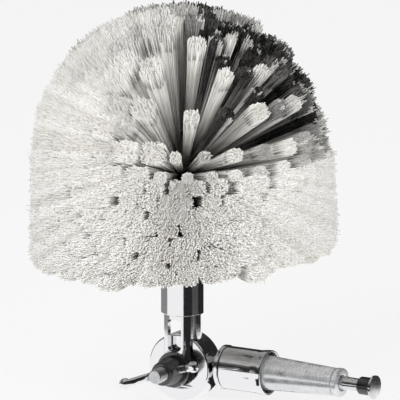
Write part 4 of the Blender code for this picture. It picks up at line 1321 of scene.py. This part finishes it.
class BRUSH_OT_arm(Operator):
    """Make the socket, its rivet, the tapered stub, its ring and the end plug"""

    bl_idname = "brush.arm"
    bl_label = "Arm"

    def execute(self, context):
        metal = context.scene.brush_metal
        start, end = on_arm("pole_socket")
        lip, flare = radius_of("pole_socket", 1), end - SOCKET_FLARE
        profile = [
            (SOCKET_BORE, start),
            (SOCKET_R, start),
            (SOCKET_R, flare),
            (lip, end - LIP_L),
            (lip, end),
            (SOCKET_MOUTH, end),
            (SOCKET_BORE, flare),
        ]
        socket = turned("socket_tube", profile, ON_ARM, edge=0.9 * MM)
        dress(socket, chrome_plate(metal), "pole_side", "chrome", "pole_socket")

        shoulder = end - STUB_SHOULDER_IN
        start, end = on_arm("pole_stub")
        fit, hole_foot = SOCKET_BORE - CLEAR, end - PLUG_HOLE_L
        profile = [
            (0, start),
            (fit, start),
            (fit, shoulder),
            (STUB_END_R, end),
            (PLUG_HOLE_R, end),
            (PLUG_HOLE_R, hole_foot),
            (0, hole_foot),
        ]
        satin = dull_aluminium(metal)
        stub = turned("stub_taper", profile, ON_ARM, edge=0.3 * MM)
        dress(stub, satin, "pole_side", "satin_aluminium", "pole_stub")

        profile = tube(PLUG_NECK_R + CLEAR, radius_of("stub_ring", 1), *on_arm("stub_ring"))
        collar = turned("stub_collar", profile, ON_ARM, edge=1.0 * MM)
        dress(collar, satin, "pole_side", "satin_aluminium", "stub_ring")
        self.make_plug(metal)
        self.make_rivet(zinc_plate(metal))
        return {"FINISHED"}

    def make_plug(self, metal):
        """The plug: a bright neck out of the ring, a dark barrel and a bright machined flange."""
        dark = turned_metal("blackened_steel", metal.blackened, roughness=0.34, groove_mm=0.35)
        bright = turned_metal("bright_steel", metal.chrome, roughness=0.16, groove_mm=0.3)
        ring_start, ring_end = on_arm("stub_ring")
        end = on_arm("end_plug")[1]
        flange_foot = end - PLUG_FLANGE_T
        barrel = flange_foot - PLUG_BARREL_L
        root_r, root_foot = PLUG_HOLE_R - CLEAR, ring_start - PLUG_ROOT_L
        profile = [
            (0, root_foot),
            (root_r, root_foot),
            (root_r, ring_start),
            (PLUG_NECK_R, ring_start),
            (PLUG_NECK_R, ring_end),
            (PLUG_WAIST_R, barrel + PLUG_STEP),
            (0, barrel + PLUG_STEP),
        ]
        neck = turned("plug_neck", profile, ON_ARM, edge=0.2 * MM)
        dress(neck, bright, "pole_side", "zinc_steel", "end_plug")
        profile = [
            (0, barrel - PLUG_STEP),
            (PLUG_WAIST_R + PLUG_SEAT, barrel - PLUG_STEP),
            (PLUG_BARREL_R - PLUG_STEP, barrel),
            (PLUG_BARREL_R, barrel + PLUG_STEP),
            (PLUG_BARREL_R, flange_foot + PLUG_SEAT),
            (0, flange_foot + PLUG_SEAT),
        ]
        coupling = turned("plug_barrel", profile, ON_ARM, edge=0.35 * MM)
        dress(coupling, dark, "pole_side", "dark_steel", "end_plug")
        profile = tube(0, radius_of("end_plug", 1), flange_foot, end)
        face = turned("plug_flange", profile, ON_ARM, edge=0.35 * MM)
        dress(face, bright, "pole_side", "zinc_steel", "end_plug")

    def make_rivet(self, zinc):
        """The domed rivet through socket and stub, at the back."""
        low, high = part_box("socket_rivet")
        seat = high.y - RIVET_HEAD_T
        head = arc(radius_of("socket_rivet", 0), RIVET_HEAD_T, seat, 0, 90, 10)
        shank = [(RIVET_R, seat), (RIVET_R, low.y), (0, low.y)]
        rivet = turned("dome_rivet", head + shank, at_back("socket_rivet"), steps=64)
        dress(rivet, zinc, "pole_side", "zinc_steel", "socket_rivet")


# Stage

FLOOR_Z = CAD_BOX[0].z - CLEAR
FLOOR_HALF = 9.0
CARD_REACH, CARD_H, CARD_STEPS = 200 * MM, 170 * MM, 16
# Cards round the neck: from and to, in degrees to the right of the camera, and how bright
CARDS = ((-178, -88, 0.26), (2, 48, 0.02), (48, 84, 0.08), (84, 135, 0.02))
# The first dark card runs on over the floor, towards the brush, as near as this
SKIRT_CARD, SKIRT_REACH, SKIRT_Z = CARDS[1], 45 * MM, FLOOR_Z + 0.4 * MM
# A black cloth lies on the floor behind the drum, for its rim to mirror: corners from the pivot
CLOTH = ((-10 * MM, 16 * MM), (70 * MM, 16 * MM), (110 * MM, 110 * MM), (-30 * MM, 110 * MM))
CLOTH_SHADE, CLOTH_Z = 0.015, FLOOR_Z + 0.5 * MM
WHITE = (1.0, 1.0, 1.0, 1.0)


class BRUSH_OT_stage(Operator):
    """Make the camera, the soft lamps, the room and the plain floor"""

    bl_idname = "brush.stage"
    bl_label = "Stage"

    def execute(self, context):
        stage = context.scene.brush_stage
        scene = context.scene
        scene.view_settings.view_transform = "Standard"
        self.turn, rise = stage.azimuth, stage.elevation
        up, right = Vector((0, 0, 1)), Vector((math.cos(self.turn), math.sin(self.turn), 0))
        level = Vector((math.sin(self.turn), -math.cos(self.turn), 0))
        towards = level * math.cos(rise) + up * math.sin(rise)
        target = PIVOT + Vector(stage.target)
        sensor = 36.0
        lens = set_all(bpy.data.cameras.new("camera"), sensor_width=sensor, clip_end=100.0)
        lens.lens = sensor * stage.distance / stage.view_width
        scene.camera = self.aimed("camera", lens, target, towards, stage.distance)
        key_way, fill_way = -0.6 * right + 0.8 * level + 0.6 * up, 0.7 * right + 0.7 * level + 0.2 * up
        self.lamp("key", stage.key_watts, target, key_way, distance=1.3)
        self.lamp("fill", stage.fill_watts, target, fill_way, distance=1.5)
        self.floor(stage)
        self.room(stage, 0.34 * level - 0.59 * right + 0.73 * up)
        self.cards()
        return {"FINISHED"}

    def aimed(self, name, data, target, way, distance):
        """A camera or lamp that stands some way off the target and looks at it."""
        made = add_object(name, data)
        made.location = target + way.normalized() * distance
        made.rotation_euler = (-way).to_track_quat("-Z", "Y").to_euler()
        return made

    def lamp(self, name, watts, target, way, distance):
        """A round soft lamp that lights the brush and isn't itself mirrored in the chrome."""
        data = set_all(bpy.data.lights.new(name, "AREA"), energy=watts, shape="DISK", size=0.9)
        self.aimed(name, data, target, way, distance).visible_glossy = False

    def floor(self, stage):
        """A wide plain floor just under the drum: the camera and the metal see it as near white."""
        bm = bmesh.new()
        bmesh.ops.create_grid(bm, x_segments=8, y_segments=8, size=FLOOR_HALF)
        place = Matrix.Translation((PIVOT.x, 0, FLOOR_Z))
        floor = add_object("floor", mesh_from(bm, "floor"), place)
        material, tree, shader = new_tree("plain_floor")
        plug(tree, shader, {"Roughness": 0.9, "Base Color": (*stage.floor, 1.0)})
        light = add(tree, "Emission", "Emission", {"Color": WHITE, "Strength": 1.0})
        seen = add(tree, "LightPath", "Is Camera Ray")
        mirrored = add(tree, "LightPath", "Is Glossy Ray")
        # The lit floor keeps a share of the camera's view, which shows the brush's shadow
        rays = {0: seen, 1: 0.8, 2: mirrored}
        share = add(tree, "Math", "Value", rays, operation="MULTIPLY_ADD")
        mixed = {"Fac": share, 1: shader.outputs["BSDF"], 2: light}
        surface(tree, add(tree, "MixShader", "Shader", mixed))
        floor.data.materials.append(material)

    def card_line(self, card, reach, height):
        """Places along a card, round the neck at one distance and height."""
        start, end, _ = card
        about = Vector((PIVOT.x, NECK_Y, height))
        line = []
        for i in range(CARD_STEPS + 1):
            turn = self.turn + math.radians(start + (end - start) * i / CARD_STEPS)
            line.append(about + Vector((math.sin(turn), -math.cos(turn), 0)) * reach)
        return line

    def cards(self):
        """Grey and black cards round the brush, which only the metal sees, as a photographer sets."""
        for place, card in enumerate(CARDS, start=1):
            feet = self.card_line(card, CARD_REACH, FLOOR_Z)
            tops = self.card_line(card, CARD_REACH, FLOOR_Z + CARD_H)
            strips = [(feet[i], feet[i + 1], tops[i + 1], tops[i]) for i in range(CARD_STEPS)]
            self.card(f"card_{place}", strips, card[2])
        near = self.card_line(SKIRT_CARD, SKIRT_REACH, SKIRT_Z)
        far = self.card_line(SKIRT_CARD, CARD_REACH, SKIRT_Z)
        self.card("card_skirt", [near + far[::-1]], SKIRT_CARD[2])
        cloth = [(PIVOT.x + x, PIVOT.y + y, CLOTH_Z) for x, y in CLOTH]
        self.card("black_cloth", [cloth], CLOTH_SHADE)

    def card(self, name, faces, shade):
        """An even grey card of flat faces, which only reflections show."""
        bm = bmesh.new()
        for corners in faces:
            bm.faces.new([bm.verts.new(corner) for corner in corners])
        made = add_object(name, mesh_from(bm, name))
        material, tree, _ = new_tree(name)
        grey = {"Color": (shade, shade, shade, 1.0), "Strength": 1.0}
        surface(tree, add(tree, "Emission", "Emission", grey))
        made.data.materials.append(material)
        for kind in ("camera", "diffuse", "shadow", "transmission", "volume_scatter"):
            setattr(made, f"visible_{kind}", False)

    def room(self, stage, patch):
        """An even room: the metal sees it dark, but for one pale patch high in front."""
        world = bpy.data.worlds.new("room")
        bpy.context.scene.world = world
        world.use_nodes = True
        tree = world.node_tree
        way = add(tree, "TexCoord", "Generated")
        facing = {0: way, 1: patch.normalized()}
        near = add(tree, "VectorMath", "Value", facing, operation="DOT_PRODUCT")
        fade = {"Value": near, "From Min": 0.86, "From Max": 1.0, "To Min": 0.025, "To Max": stage.glow}
        glow = add(tree, "MapRange", "Result", fade, interpolation_type="SMOOTHSTEP")
        seen = add(tree, "LightPath", "Is Camera Ray")
        even = add(tree, "MapRange", "Result", {"Value": seen, "To Min": stage.ambient, "To Max": 1.0})
        mirrored = add(tree, "LightPath", "Is Glossy Ray")
        strength = add(tree, "Mix", "Result", {"Factor": mirrored, "A": even, "B": glow})
        plug(tree, tree.nodes["Background"], {"Color": WHITE, "Strength": strength})


class BRUSH_PT_panel(Panel):
    """Lists the pieces of the pole brush and their settings"""

    bl_label = "Pole brush"
    bl_idname = "BRUSH_PT_panel"
    bl_space_type = "VIEW_3D"
    bl_region_type = "UI"
    bl_category = "Pole brush"

    def draw(self, context):
        layout = self.layout
        for group in GROUPS:
            settings = getattr(context.scene, group)
            box = layout.box()
            for name in settings.bl_rna.properties.keys():
                if name not in ("rna_type", "name"):
                    box.prop(settings, name)
        for kind in OPERATORS:
            layout.operator(kind.bl_idname)


GROUPS = {
    "brush_bristles": BristleSettings,
    "brush_metal": MetalSettings,
    "brush_stage": StageSettings,
}
OPERATORS = (
    BRUSH_OT_stage,
    BRUSH_OT_bristles,
    BRUSH_OT_core,
    BRUSH_OT_neck,
    BRUSH_OT_knuckle,
    BRUSH_OT_clamp,
    BRUSH_OT_arm,
)


def register():
    for kind in (*GROUPS.values(), *OPERATORS, BRUSH_PT_panel):
        bpy.utils.register_class(kind)
    for name, kind in GROUPS.items():
        setattr(bpy.types.Scene, name, PointerProperty(type=kind))


def unregister():
    for name in GROUPS:
        delattr(bpy.types.Scene, name)
    for kind in (BRUSH_PT_panel, *reversed(OPERATORS), *reversed(GROUPS.values())):
        bpy.utils.unregister_class(kind)


def main():
    register()
    bpy.ops.brush.stage()
    bpy.ops.brush.bristles()
    bpy.ops.brush.core()
    bpy.ops.brush.neck()
    bpy.ops.brush.knuckle()
    bpy.ops.brush.clamp()
    bpy.ops.brush.arm()


if __name__ == "__main__":
    main()
